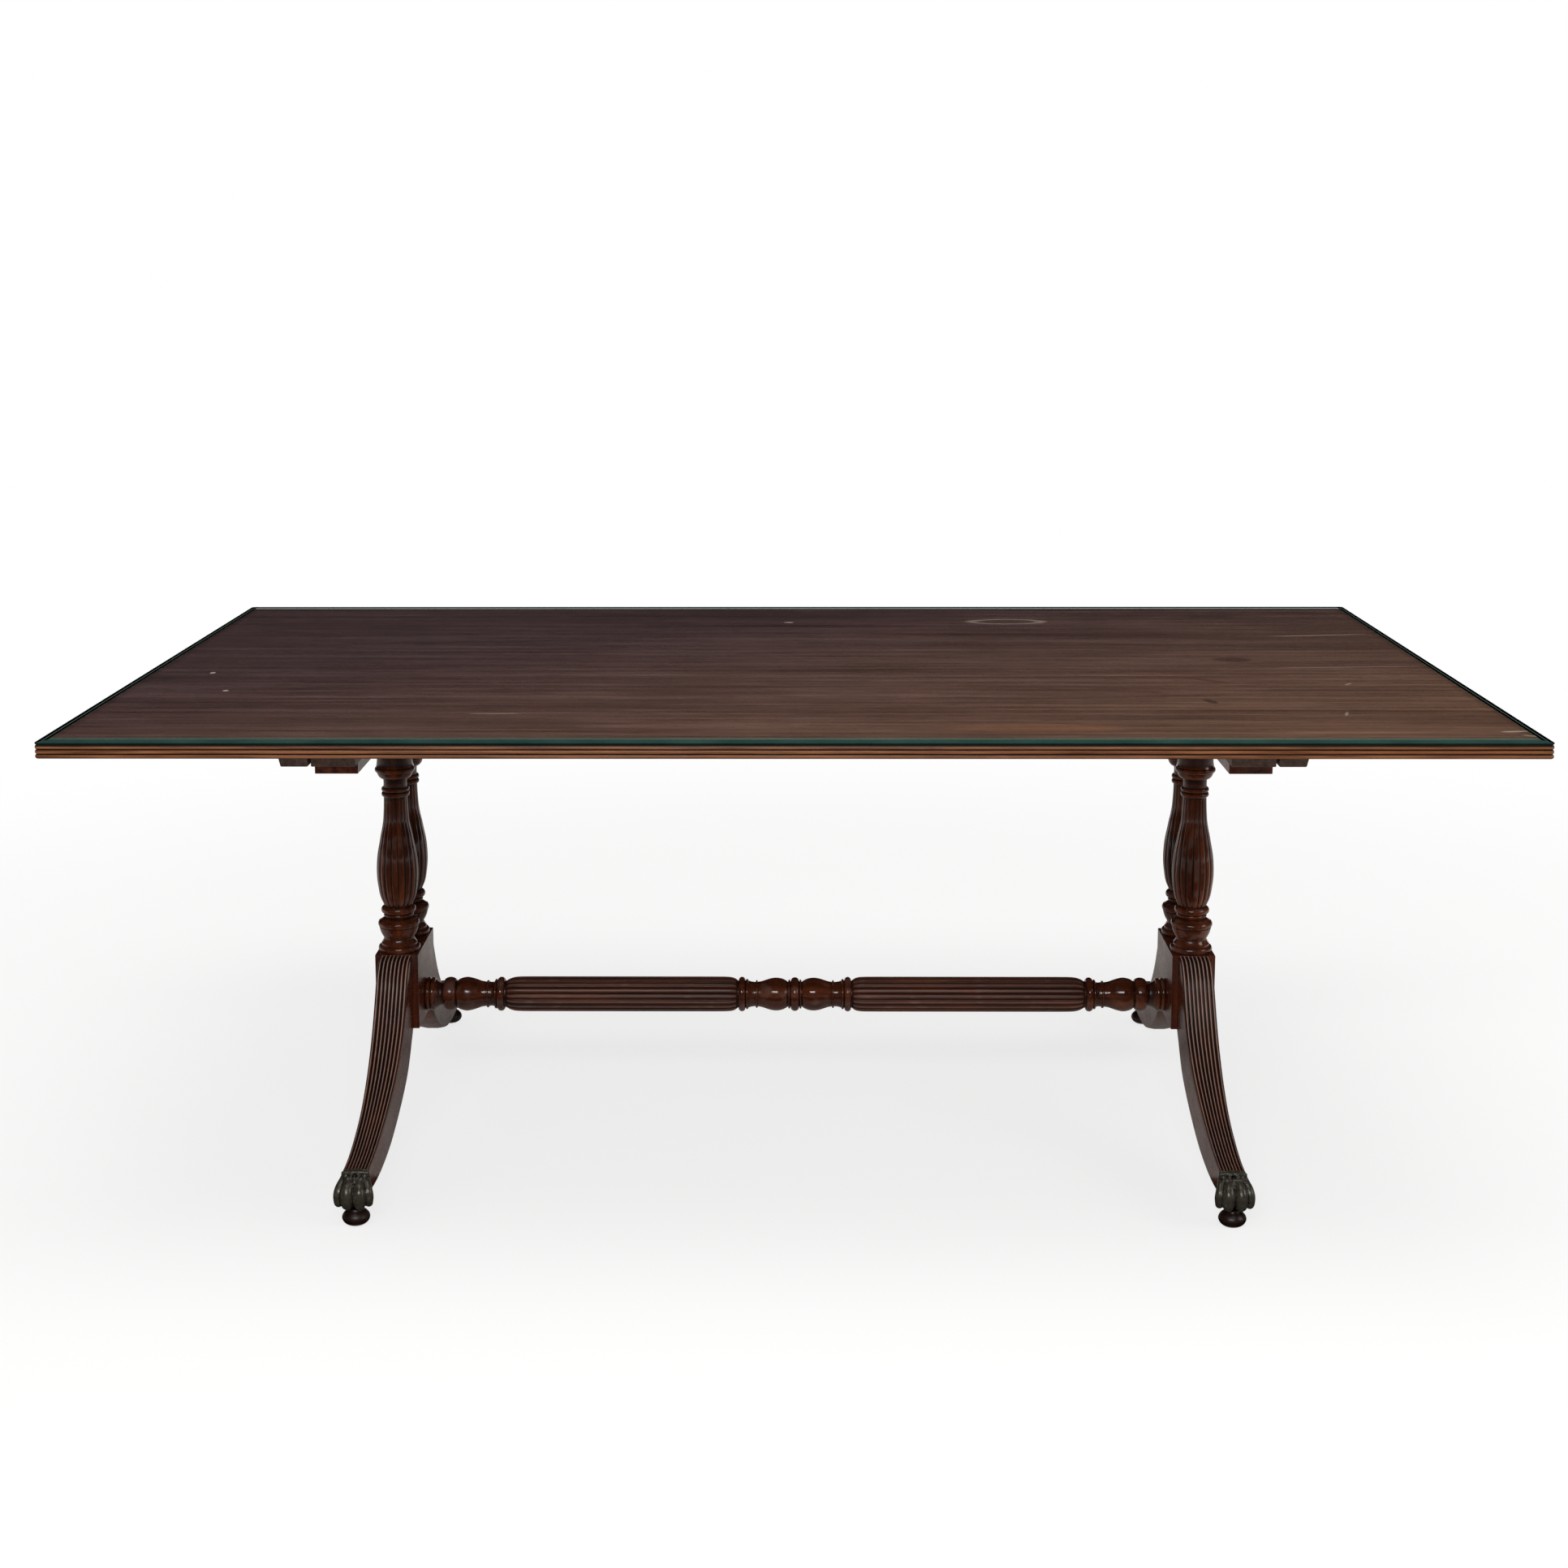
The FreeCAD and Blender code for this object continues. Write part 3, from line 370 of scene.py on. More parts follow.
def smoothLine(knots, steps):
    # a centripetal curve through every knot
    knots = [Vector(k) for k in knots]
    line = []
    run = [2 * knots[0] - knots[1]] + knots + [2 * knots[-1] - knots[-2]]
    for a, b, c, d in zip(run, run[1:], run[2:], run[3:]):
        ta, tb = 0.0, max((b - a).length, 1e-6) ** 0.5
        tc = tb + max((c - b).length, 1e-6) ** 0.5
        td = tc + max((d - c).length, 1e-6) ** 0.5
        for k in range(steps):
            t = tb + (tc - tb) * k / steps
            ab, bc = a.lerp(b, (t - ta) / (tb - ta)), b.lerp(c, (t - tb) / (tc - tb))
            cd = c.lerp(d, (t - tc) / (td - tc))
            left, right = ab.lerp(bc, (t - ta) / (tc - ta)), bc.lerp(cd, (t - tb) / (td - tb))
            line.append(left.lerp(right, (t - tb) / (tc - tb)))
    return line + [knots[-1]]


def halfRound(start, end, root, crown, steps=10):
    # a bead from start to end that swells from the root radius to the crown
    turns = [math.pi * k / steps for k in range(steps + 1)]
    middle, half = (start + end) / 2, (end - start) / 2
    return [Vector((middle - half * math.cos(t), root + (crown - root) * math.sin(t))) for t in turns]


def ringFaces(rings, around):
    # quads between rings of points, then a cap at each end
    quads = []
    for low in range(0, (rings - 1) * around, around):
        high = low + around
        quads += [(low + k, low + (k + 1) % around, high + (k + 1) % around, high + k) for k in range(around)]
    return quads + [tuple(range(around))[::-1], tuple(range((rings - 1) * around, rings * around))]


def addPiece(name, points, faces, materials, nodes, grain=None, hollow=None, sharp=38, picks=None):
    mesh = bpy.data.meshes.new(name)
    mesh.from_pydata([Vector(p) * 0.001 for p in points], [], faces)
    for material in materials:
        mesh.materials.append(material)
    if picks:
        mesh.polygons.foreach_set("material_index", picks)
    shape = bmesh.new()
    shape.from_mesh(mesh)
    bmesh.ops.recalc_face_normals(shape, faces=shape.faces)
    shape.to_mesh(mesh)
    shape.free()
    mesh.shade_smooth()
    mesh.set_sharp_from_angle(angle=math.radians(sharp))
    if grain:
        ways = mesh.attributes.new("grain", "FLOAT_VECTOR", "POINT")
        ways.data.foreach_set("vector", [c * 0.001 for p in grain for c in p])
    if hollow:
        depth = mesh.attributes.new("hollow", "FLOAT", "POINT")
        depth.data.foreach_set("value", hollow)
    piece = bpy.data.objects.new(name, mesh)
    bpy.context.scene.collection.objects.link(piece)
    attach(piece, "root")
    if nodes:
        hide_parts(*nodes)
    return piece


# darkened by wax and painted shade where a turning is thinner than its surroundings, and at the roots of its
# reeds
waxAndShading = {"reachMm": 7, "fullMm": 2.5, "most": 0.8, "reedGain": 1.4}


def turned(profile, sides, reeds=None):
    # rings of (along, radius) round an upright axis; reeds are cut from start to end, either side of zero
    points, hollow = [], []
    for along, radius in profile:
        near = [r for a, r in profile if abs(a - along) < waxAndShading["reachMm"]]
        sunk = min(max((sum(near) / len(near) - radius) / waxAndShading["fullMm"], 0), waxAndShading["most"])
        reeded = reeds and reeds["start"] <= abs(along) <= reeds["end"]
        for k in range(sides):
            cut, deep = 0.0, 0.0
            if reeded:
                across = (k * reeds["count"] / sides) % 1 * 2 - 1
                depth = reeds["depth"] * radius / reeds["radius"]
                cut = depth * (1 - math.sqrt(max(0, 1 - across * across)))
                deep = cut / reeds["depth"] * waxAndShading["reedGain"] - reeds["wearAndHighlight"]
            angle = 2 * math.pi * (k + 0.5) / sides
            points.append(((radius - cut) * math.cos(angle), (radius - cut) * math.sin(angle), along))
            # crests below zero take the painted highlight; grooves and thin places above zero darken with wax
            # and painted shade
            hollow.append(sunk + deep * (reeds["pale"] if deep < 0 else 1))
    return points, hollow, ringFaces(len(profile), sides)


corners = {"front_left": (-1, -1), "front_right": (1, -1), "rear_left": (-1, 1), "rear_right": (1, 1)}

# Turned columns, reeded on the vase.
column = {"x": 642, "y": 49, "sides": 144, "grainSpread": 3,
          "neck": 597, "neckShade": 0.6}  # painted shade: the neck in the shadow of the top is darkened towards the wax colour
columnReeds = {"start": 365.5, "end": 545.9, "count": 18, "depth": 1.9, "radius": 33.2,
               "wearAndHighlight": 0.2, "pale": 0.08}
vase = [(365, 22.1), (369, 23.6), (377, 27.1), (385, 29.4), (398, 31.4), (410, 32.8), (426, 33.2),
        (446, 31.9), (458, 30.1), (470, 27.7), (482, 25.5), (494, 22.9), (506, 20.9), (518, 19.9),
        (534, 19.1), (546, 18.8)]
columnProfile = (
    halfRound(291, 300.5, 30.8, 33.6) + [Vector(p) for p in ((300.9, 29.4), (301.3, 28.8), (304.4, 28.6))]
    + smoothLine([(304.8, 28.2), (308, 26.2), (312.6, 24.4), (317, 26.6), (323, 29.4), (330.6, 31.4)], 4)
    + [Vector(p) for p in ((331, 30.4), (331.9, 30.4), (332.2, 31.9))]
    + smoothLine([(332.3, 32.0), (335.5, 33.2), (338.6, 33.0), (341, 31.6)], 4)
    + smoothLine([(341.4, 30.2), (343.8, 27.0), (346.6, 22.6), (347.6, 21.6)], 4)
    + halfRound(348, 353.2, 21.6, 24.0, 8) + halfRound(353.5, 365.2, 22.6, 27.8, 12) + smoothLine(vase, 4)
    + halfRound(546.2, 554, 18.9, 22.4) + halfRound(554.2, 562, 18.9, 22.4)
    + smoothLine([(562.2, 18.9), (568, 18.6), (575, 18.9)], 3)
    + smoothLine([(575.6, 21.0), (577.5, 24.2), (581, 27.0), (585.6, 28.7)], 5)
    + halfRound(586.2, 595, 28.2, 32.2) + smoothLine([(595, 30.3), (599, 29.1), (606, 28.3), (620, 28.0)], 4)
    + [Vector((683, 28.0))])
points, hollow, faces = turned(columnProfile, column["sides"], columnReeds)
# painted shade of the top over the neck, in the dark wax colour
hollow = [max(h, column["neckShade"]) if p[2] > column["neck"] else h for h, p in zip(hollow, points)]
for place, (sideX, sideY) in corners.items():
    x, y = sideX * column["x"], sideY * column["y"]
    addPiece("turned_column_" + place, [(px + x, py + y, pz) for px, py, pz in points], faces,
             [turnedMahogany], ["column_" + place],
             [(px + x, py + y * column["grainSpread"], pz) for px, py, pz in points], hollow)
print("columns turned")

# Turned stretcher with two reeded lengths, drawn as its left half and mirrored.
stretcher = {"height": 201, "sides": 144, "reedDull": 0.24}
# the pale crest line along each reed is painted highlight
stretcherReeds = {"start": 94.4, "end": 475, "count": 18, "depth": 1.9, "radius": 28.5,
                  "wearAndHighlight": 0.12, "pale": 1.0}
halfProfile = (
    halfRound(-607.5, -600, 23.5, 27.5) + halfRound(-599.8, -592, 23.5, 27.5)
    + smoothLine([(-591.5, 23.6), (-587, 19.8), (-582, 18.2), (-578.5, 20.8)], 4)
    + halfRound(-578, -558, 21.6, 27.7, 14)
    + smoothLine([(-557.6, 21.4), (-553, 24.6), (-548, 26.5), (-540, 27.7), (-532, 26.4), (-524, 24.0),
                  (-516, 21.2), (-508.6, 20.0)], 4)
    + halfRound(-508, -504, 20.0, 22.5, 8)
    + smoothLine([(-503.6, 20.0), (-499, 19.5), (-495.6, 20.4), (-494.9, 21.2)], 4)
    + halfRound(-494.6, -490.4, 21.4, 24.4, 8)
    + halfRound(-490, -478, 22.6, 27.9, 12) + [Vector((-477.4, 21.6)), Vector((-475.6, 21.6))]
    + smoothLine([(-475, 22.2), (-470, 25.0), (-464, 27.0), (-456, 28.1), (-436, 28.5)], 4)
    + smoothLine([(-420, 28.5), (-330, 28.5), (-230, 28.5), (-138, 28.5)], 3)
    + smoothLine([(-116, 28.4), (-106, 27.8), (-99.5, 26.2), (-94.4, 23.0)], 4)
    + [Vector((-93.8, 22.0)), Vector((-93, 22.0))] + halfRound(-92.6, -81.4, 22.6, 28.3, 12)
    + halfRound(-81, -76.2, 21.6, 24.9, 8)
    + smoothLine([(-75.9, 22.0), (-71, 20.6), (-66, 20.0), (-65, 20.0)], 4)
    + halfRound(-64.6, -60.8, 20.0, 22.8, 8)
    + smoothLine([(-60.5, 20.2), (-54, 21.4), (-46, 24.0), (-38, 26.2), (-29.4, 26.9), (-20, 25.2),
                  (-13, 21.6), (-11.6, 20.2)], 4)
    + halfRound(-11.2, -7.4, 20.2, 24.0, 8) + halfRound(-7, 7, 21.2, 27.6, 16)[:9])
stretcherProfile = halfProfile + [Vector((-a, r)) for a, r in reversed(halfProfile[:-1])]
points, hollow, faces = turned(stretcherProfile, stretcher["sides"], stretcherReeds)
piece = addPiece("turned_stretcher", [(z, x, y + stretcher["height"]) for x, y, z in points], faces,
                 [turnedMahogany], ["stretcher"], points, hollow)
reeded = [stretcherReeds["start"] <= abs(p[2]) <= stretcherReeds["end"] for p in points]
rubbing = piece.data.attributes.new("dull", "FLOAT", "POINT")  # feet rub the reeds duller than the knops
rubbing.data.foreach_set("value", [stretcher["reedDull"] if r else 0 for r in reeded])
print("stretcher turned")

# Sabre legs, reeded on the upper face: lines of (out from the block, height) and of (out, width).
leg = {"x": 642, "root": 82, "reeds": 8, "reedDepth": 1.7, "samples": 8, "softness": 3, "steps": 8,
       "waxAndShadeGain": 7, "wearAndHighlight": 0.5, "crestHighlightFade": 0.5, "cornerWaxAndShade": 0.2, "sideWaxAndShade": 0.05, "grainShift": (90, 70)}
upperLine = [(0, 290), (24, 285.5), (45, 268), (61, 243), (96, 195), (152, 148.5), (231, 111), (300, 91),
             (350, 82), (385, 79)]
underLine = [(0, 169), (10, 160), (21, 150), (33, 138), (62, 113), (114, 84), (200, 50), (280, 37.5),
             (335, 36.5), (372, 40)]
widths = [(0, 50), (24, 50), (45, 50), (61, 50), (96, 49.5), (152, 46.5), (231, 41), (300, 38.6),
          (350, 37.5), (385, 37.5)]
upper, under = smoothLine(upperLine, leg["steps"]), smoothLine(underLine, leg["steps"])
wide = [w[1] for w in smoothLine(widths, leg["steps"])]
section = []  # share across, share up, lift in mm, hollow
for across, lift in ((0, 1), (0.07, 0.6), (0.3, 0), (0.5, 0), (0.7, 0), (0.93, 0.6), (1, 1)):
    section.append((across - 0.5, 0, leg["softness"] * lift, 0))
section += [(0.5, share, 0, leg["sideWaxAndShade"]) for share in (0.3, 0.6, 0.85)]
firstReed, reedSteps = len(section), leg["reeds"] * leg["samples"]
for k in range(reedSteps + 1):
    across = (k / leg["samples"]) % 1 * 2 - 1
    cut = 1 - math.sqrt(max(0, 1 - across * across))
    # reed crests go below zero for a painted highlight; grooves and reed edges darken with wax and painted
    # shade
    sunk = min(cut * leg["waxAndShadeGain"] - leg["wearAndHighlight"], 1) if 0 < k < reedSteps else leg["cornerWaxAndShade"]
    section.append((0.5 - k / reedSteps, 1, -cut * leg["reedDepth"], sunk))
section += [(-0.5, share, 0, leg["sideWaxAndShade"]) for share in (0.85, 0.6, 0.3)]
points, grain, hollow, travel = [], [], [], 0.0
for station, (top, foot, width) in enumerate(zip(upper, under, wide)):
    rise = (top - foot).normalized()
    travel += (top - upper[station - 1]).length if station else 0
    # the painted highlight on the crests fades down the leg
    fade = 1 - leg["crestHighlightFade"] * station / len(upper)
    for across, share, lift, sunk in section:
        spot = foot.lerp(top, share) + rise * lift
        points.append((across * width, spot[0], spot[1]))
        grain.append((across * width, (top - foot).length * share, travel))
        hollow.append(sunk if sunk > 0 else sunk * fade)
faces = ringFaces(len(upper), len(section))
picks = [0 if firstReed <= k < firstReed + reedSteps else 1 for k in range(len(section))] * (len(upper) - 1)
picks += [1, 1]
shiftX, shiftY = leg["grainShift"]  # sets the grain of each leg apart
for place, (sideX, sideY) in corners.items():
    addPiece("reeded_leg_" + place,
             [(sideX * leg["x"] + v, sideY * (leg["root"] + u), z) for v, u, z in points],
             faces, [turnedMahogany, planedMahogany], ["leg_" + place],
             [(a + shiftX * sideX, b + shiftY * sideY, c) for a, b, c in grain], hollow,
             sharp=50, picks=picks)
print("legs shaped")

# Cast lion paws, their toes run together and softened as a casting is.
# Each is built from balls of (out, across, height, radius).
paw = {"voxel": 1.0, "sole": 24, "smoothing": 3, "smoothShare": 0.5, "grimeMm": 0.35}
toes = {"spread": (-20.6, -8.6, 10.2, 23.4), "setBack": (7, 0, 0, 6), "size": (0.76, 1, 1, 0.8), "steps": 5,
        "path": [(390, 0.74, 70, 5.2), (397.5, 0.82, 64, 6.8), (405, 0.94, 56.5, 8.4), (409.5, 1.0, 48, 9.2),
                 (409.5, 1.0, 40, 9.2), (407.5, 1.0, 34.5, 8.4)],
        "spur": [(394, 25.0, 46, 4.0), (399, 27.6, 40, 3.2), (402, 28.8, 35, 2.0)], "spurShift": 3}
pawCore = [(379, 0, 60, 18, 1.0), (384, 0, 56, 17.5, 1.08), (389, 0, 49, 16, 1.25), (390, 0, 41, 14.5, 1.45),
           (387, 0, 36, 12.5, 1.55)]  # and how far each is drawn out across
tufts = [(392, -14, 71, 3.2), (393, -5, 75, 3.0), (393, 5, 75, 3.0), (392, 14, 71, 3.2), (398, -10, 70, 2.6),
         (399, 0, 70, 3.2), (398, 10, 70, 2.6), (396, -19, 64, 2.6), (396, 19, 64, 2.6)]
tuftTaper = ((0, 1, 0, 1), (3.5, 1.04, -4.5, 0.8), (6.5, 1.07, -8.5, 0.5))  # out, spread, rise, radius share
collar = {"beads": 96, "halfWide": 18.2, "inset": 1, "square": 0.82,
          "rings": ((0.0, 1.0, 1.8), (6.2, 1.8, 2.9))}  # shift, swell and thickness of the lip and the bead
blank = bmesh.new()


def addBall(u, v, z, radius, stretch=1.0):
    place = Matrix.Translation((v, u, z)) @ Matrix.Diagonal((stretch, 1, 1, 1))
    bmesh.ops.create_icosphere(blank, subdivisions=3, radius=radius, matrix=place)


for u, v, z, radius, stretch in pawCore:
    addBall(u, v, z, radius, stretch)
for spread, back, share in zip(toes["spread"], toes["setBack"], toes["size"]):
    for u, along, z, radius in smoothLine(toes["path"], toes["steps"]):
        addBall(u - back, spread * along, z, radius * share)
for u, v, z, radius in smoothLine(toes["spur"], toes["steps"]):
    addBall(u, v, z, radius)
    addBall(u, toes["spurShift"] - v, z + toes["spurShift"], radius)
for u, v, z, radius in tufts:
    for out, spread, rise, share in tuftTaper:
        addBall(u + out, v * spread, z + rise, radius * share)
ankleTop, ankleFoot = upper[-1], under[-1]
ankleRise = (ankleTop - ankleFoot).normalized()
ankleAlong = Vector((ankleRise[1], -ankleRise[0]))
for shift, swell, thick in collar["rings"]:
    middle = (ankleTop + ankleFoot) / 2 + ankleAlong * shift
    halfHigh = (ankleTop - ankleFoot).length / 2 - collar["inset"] + swell / 2
    halfWide = collar["halfWide"] + swell / 2
    for k in range(collar["beads"]):
        angle = 2 * math.pi * k / collar["beads"]
        squareness = max(abs(math.cos(angle)), abs(math.sin(angle))) ** collar["square"]
        across, lift = halfWide * math.cos(angle) / squareness, halfHigh * math.sin(angle) / squareness
        spot = middle + ankleRise * lift
        addBall(spot[0], across, spot[1], thick)
pawMesh = bpy.data.meshes.new("paw_blank")
blank.to_mesh(pawMesh)
blank.free()
pawBlank = bpy.data.objects.new("paw_blank", pawMesh)
bpy.context.scene.collection.objects.link(pawBlank)
merge = pawBlank.modifiers.new("merge", "REMESH")
merge.mode, merge.voxel_size = "VOXEL", paw["voxel"]
merged = bpy.data.meshes.new_from_object(pawBlank.evaluated_get(bpy.context.evaluated_depsgraph_get()))
bpy.data.objects.remove(pawBlank)
cast = bmesh.new()
cast.from_mesh(merged)
for step in range(paw["smoothing"]):
    bmesh.ops.smooth_vert(cast, verts=cast.verts, factor=paw["smoothShare"],
                          use_axis_x=True, use_axis_y=True, use_axis_z=True)
for vert in cast.verts:
    vert.co.z = max(vert.co.z, paw["sole"])
cast.normal_update()
pawPoints = [v.co.copy() for v in cast.verts]
pawFaces = [tuple(v.index for v in f.verts) for f in cast.faces]
pawHollow = []
for vert in cast.verts:
    around = [e.other_vert(vert) for e in vert.link_edges]
    wider = {n for a in around for n in [e.other_vert(a) for e in a.link_edges]}
    mean = sum((n.co for n in wider), Vector()) / len(wider)
    pawHollow.append(min(max((mean - vert.co).dot(vert.normal) / paw["grimeMm"], 0), 1))
cast.free()
for place, (sideX, sideY) in corners.items():
    addPiece("cast_paw_" + place,
             [(sideX * (leg["x"] + p[0]), sideY * (leg["root"] + p[1]), p[2]) for p in pawPoints],
             pawFaces, [patinatedBronze], ["paw_" + place], hollow=pawHollow, sharp=80)
print("paws cast:", len(pawFaces), "faces each")

# Turned bun feet.
bun = {"out": 393, "sides": 64, "grime": 0.92}
bunProfile = smoothLine([(0, 12.6), (1.2, 14.6), (4.5, 18.2), (9.5, 20.4), (14, 19.6), (18.5, 16.2),
                         (21.5, 12.4), (24, 11)], 4)
points, hollow, faces = turned(bunProfile, bun["sides"])
hollow = [max(h, bun["grime"]) for h in hollow]
for place, (sideX, sideY) in corners.items():
    x, y = sideX * leg["x"], sideY * (leg["root"] + bun["out"])
    placed = [(px + x, py + y, pz) for px, py, pz in points]
    addPiece("turned_bun_" + place, placed, faces, [turnedMahogany], ["bun_foot_" + place],
             placed, hollow)
print("bun feet turned")

# Blocks, bearers and battens: straight timbers with softened arrises.
timber = {"blockArris": 1.5, "bearerArris": 1.2, "battenArris": 2.0, "arrisSteps": 3, "arrisRound": 0.6,
          "leanHeight": 12, "leanWidth": 3}


def addTimber(name, node, arris, material, way, leanSide=0):
    low, high = [v * 1000 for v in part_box(node)]
    shape = bmesh.new()
    place = Matrix.Translation((low + high) / 2) @ Matrix.Diagonal([*(high - low), 1])
    bmesh.ops.create_cube(shape, size=1, matrix=place)
    bmesh.ops.bevel(shape, geom=shape.edges[:], offset=arris, segments=timber["arrisSteps"],
                    profile=timber["arrisRound"], affect="EDGES")
    if leanSide:  # the outer face slopes in over its lower part
        bmesh.ops.bisect_plane(shape, geom=shape.verts[:] + shape.edges[:] + shape.faces[:],
                               plane_co=(0, 0, low.z + timber["leanHeight"]), plane_no=(0, 0, 1))
        for vert in shape.verts:
            if leanSide * (vert.co.x - (low.x + high.x) / 2) > 0:
                under = max(0, 1 - (vert.co.z - low.z) / timber["leanHeight"])
                vert.co.x -= leanSide * timber["leanWidth"] * under
    verts = sorted(shape.verts, key=lambda v: v.co[:])  # the plane cut alone gives no settled order
    number = {vert: k for k, vert in enumerate(verts)}
    points = [v.co.copy() for v in verts]
    faces = []
    for face in shape.faces:
        loop = [number[v] for v in face.verts]
        first = loop.index(min(loop))
        faces.append(tuple(loop[first:] + loop[:first]))
    faces.sort()
    shape.free()
    order = {"y": (0, 2, 1), "z": (0, 1, 2)}[way]  # puts the way of the grain last
    grain = [[p[i] for i in order] for p in points]
    addPiece(name, points, faces, [material], [node], grain, sharp=30)


for end, endSide in (("left", -1), ("right", 1)):
    addTimber("base_block_timber_" + end, "base_block_" + end, timber["blockArris"], planedMahogany,
              "z")
    addTimber("bearer_timber_" + end, "bearer_" + end, timber["bearerArris"], planedMahogany,
              "y")
    for row, leanSide in (("inner", 0), ("outer", endSide)):
        addTimber(row + "_batten_timber_" + end, row + "_batten_" + end, timber["battenArris"], underWood,
                  "y", leanSide)
print("timbers cut")

# Boards of the top with the reeded edge, and the glass over them.


def roundedLoop(halfLong, halfWide, radius, height, cornerSteps=6):
    loop = []
    for turn, (sx, sy) in enumerate(((1, 1), (-1, 1), (-1, -1), (1, -1))):
        for k in range(cornerSteps + 1):
            angle = math.pi / 2 * (turn + k / cornerSteps)
            loop.append((sx * (halfLong - radius) + radius * math.cos(angle),
                         sy * (halfWide - radius) + radius * math.sin(angle), height))
    return loop


top = {"reeds": 3, "reedSamples": 10, "reedBulge": 2.9, "corner": 6, "rim": 7, "rimCorner": 0.8,
       "seam": 0.06, "middle": 440, "glassShadowFrom": 6, "grainShift": (700, 900)}
low, high = [v * 1000 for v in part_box("top_board_front")]
topLow, topHigh, halfLong, halfWide = low.z, high.z, high.x, -low.y
reedHeight = (topHigh - topLow) / top["reeds"]
loops, loopHollow = [], []
for reed in range(top["reeds"]):
    for k in range(1 if reed else 0, top["reedSamples"] + 1):
        turn = math.pi * k / top["reedSamples"]
        bulge = math.sin(turn)
        inset = top["reedBulge"] * (1 - bulge)
        height = topLow + reedHeight * (reed + 0.5 - 0.5 * math.cos(turn))
        loops.append(roundedLoop(halfLong - inset, halfWide - inset, top["corner"] - inset, height))
        underGlass = reed == top["reeds"] - 1 and k > top["glassShadowFrom"]
        loopHollow.append(1.0 if underGlass else 1 - bulge)  # painted shadow of the glass rim, which casts none, over the top of the last reed; grooves darken with wax and painted shade
loops.append(roundedLoop(halfLong - top["rim"], halfWide - top["rim"], top["rimCorner"], topHigh))
# the band under the glass rim is painted shadow too
loopHollow.append(1.0)
around = len(loops[0])
slab = bmesh.new()
sunkLayer = slab.verts.layers.float.new("hollow")
rings = []
for loop, sunk in zip(loops, loopHollow):
    ring = [slab.verts.new(p) for p in loop]
    for vert in ring:
        vert[sunkLayer] = sunk
    rings.append(ring)
for below, above in zip(rings, rings[1:]):
    for k in range(around):
        m = (k + 1) % around
        slab.faces.new((below[k], below[m], above[m], above[k])).material_index = 1
slab.faces.new(rings[0][::-1])
slab.faces.new(rings[-1])
half = top["middle"] / 2
shiftAcross, shiftAlong = top["grainShift"]  # sets the figure of each board apart
boards = (("front", None, -half), ("middle", -half, half), ("rear", half, None))
for order, (board, lowY, highY) in enumerate(boards):
    shape = slab.copy()
    for cut, way in ((lowY, -1), (highY, 1)):
        if cut is None:
            continue
        bmesh.ops.bisect_plane(shape, geom=shape.verts[:] + shape.edges[:] + shape.faces[:],
                               plane_co=(0, cut - way * top["seam"], 0), plane_no=(0, way, 0),
                               clear_outer=True)
        bmesh.ops.holes_fill(shape, edges=[e for e in shape.edges if e.is_boundary])
    shape.verts.index_update()
    layer = shape.verts.layers.float["hollow"]
    points = [v.co.copy() for v in shape.verts]
    hollow = [v[layer] for v in shape.verts]
    faces = [tuple(v.index for v in f.verts) for f in shape.faces]
    picks = [f.material_index for f in shape.faces]
    shape.free()
    addPiece("top_plank_" + board, points, faces, [topMahogany, edgeMahogany], ["top_board_" + board],
             [(p.y + order * shiftAcross, p.z, p.x + order * shiftAlong) for p in points], hollow,
             sharp=40, picks=picks)
slab.free()
print("boards laid")

glass = {"gap": 0.3, "arris": 0.4, "foot": 1.7, "footIn": 1.3, "bevelWide": 15, "bevelDrop": 1.9,
         "lineWide": 14, "corner": 6, "leastCorner": 1.2}
low, high = [v * 1000 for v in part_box("glass_sheet")]
lift = low.z + glass["gap"]
steps = ((glass["footIn"], lift), (0, lift + glass["foot"]), (0, high.z - glass["bevelDrop"]),
         (glass["bevelWide"], high.z))  # inset and height of the foot, the rim and the bevel
glassLoops = [roundedLoop(high.x - inset, high.y - inset, max(glass["corner"] - inset, glass["leastCorner"]),
                          height) for inset, height in steps]
glassLoops.append(roundedLoop(high.x - glass["bevelWide"] - glass["arris"],
                              high.y - glass["bevelWide"] - glass["lineWide"],
                              glass["arris"], high.z))  # the veil lies along the long edges only
points = [p for loop in glassLoops for p in loop]
around = len(glassLoops[0])
faces = ringFaces(len(glassLoops), around)
picks = [1] * 2 * around + [2] * around + [3] * around + [0, 0]
sheet = addPiece("glass_cover", points, faces, [floatGlass, glassRim, glassEdge, glassLine], ["glass_sheet"],
                 sharp=5, picks=picks)
sheet.visible_shadow = False  # clear glass lets the light through to the wood
print("glass laid")

# Brass screws up through the bearers and battens.
screw = {"radius": 4.6, "stand": 0.6, "sink": 0.4, "crown": 0.9, "crownShare": 0.8, "sides": 24,
         "slot": 1.1, "slotShare": 0.72, "slotLow": 0.92, "slotHigh": 0.6,
         "stagger": 7, "firstTurn": 0.3, "turnStep": 0.7}
screwPlaces = {"bearer_": (-0.42, -0.2, 0.2, 0.42), "inner_batten_": (-0.46, 0.46),
               "outer_batten_": (-0.44, 0, 0.44)}  # shares of the length from its middle
barFaces = ((0, 1, 2, 3), (4, 7, 6, 5), (0, 4, 5, 1), (1, 5, 6, 2), (2, 6, 7, 3), (3, 7, 4, 0))


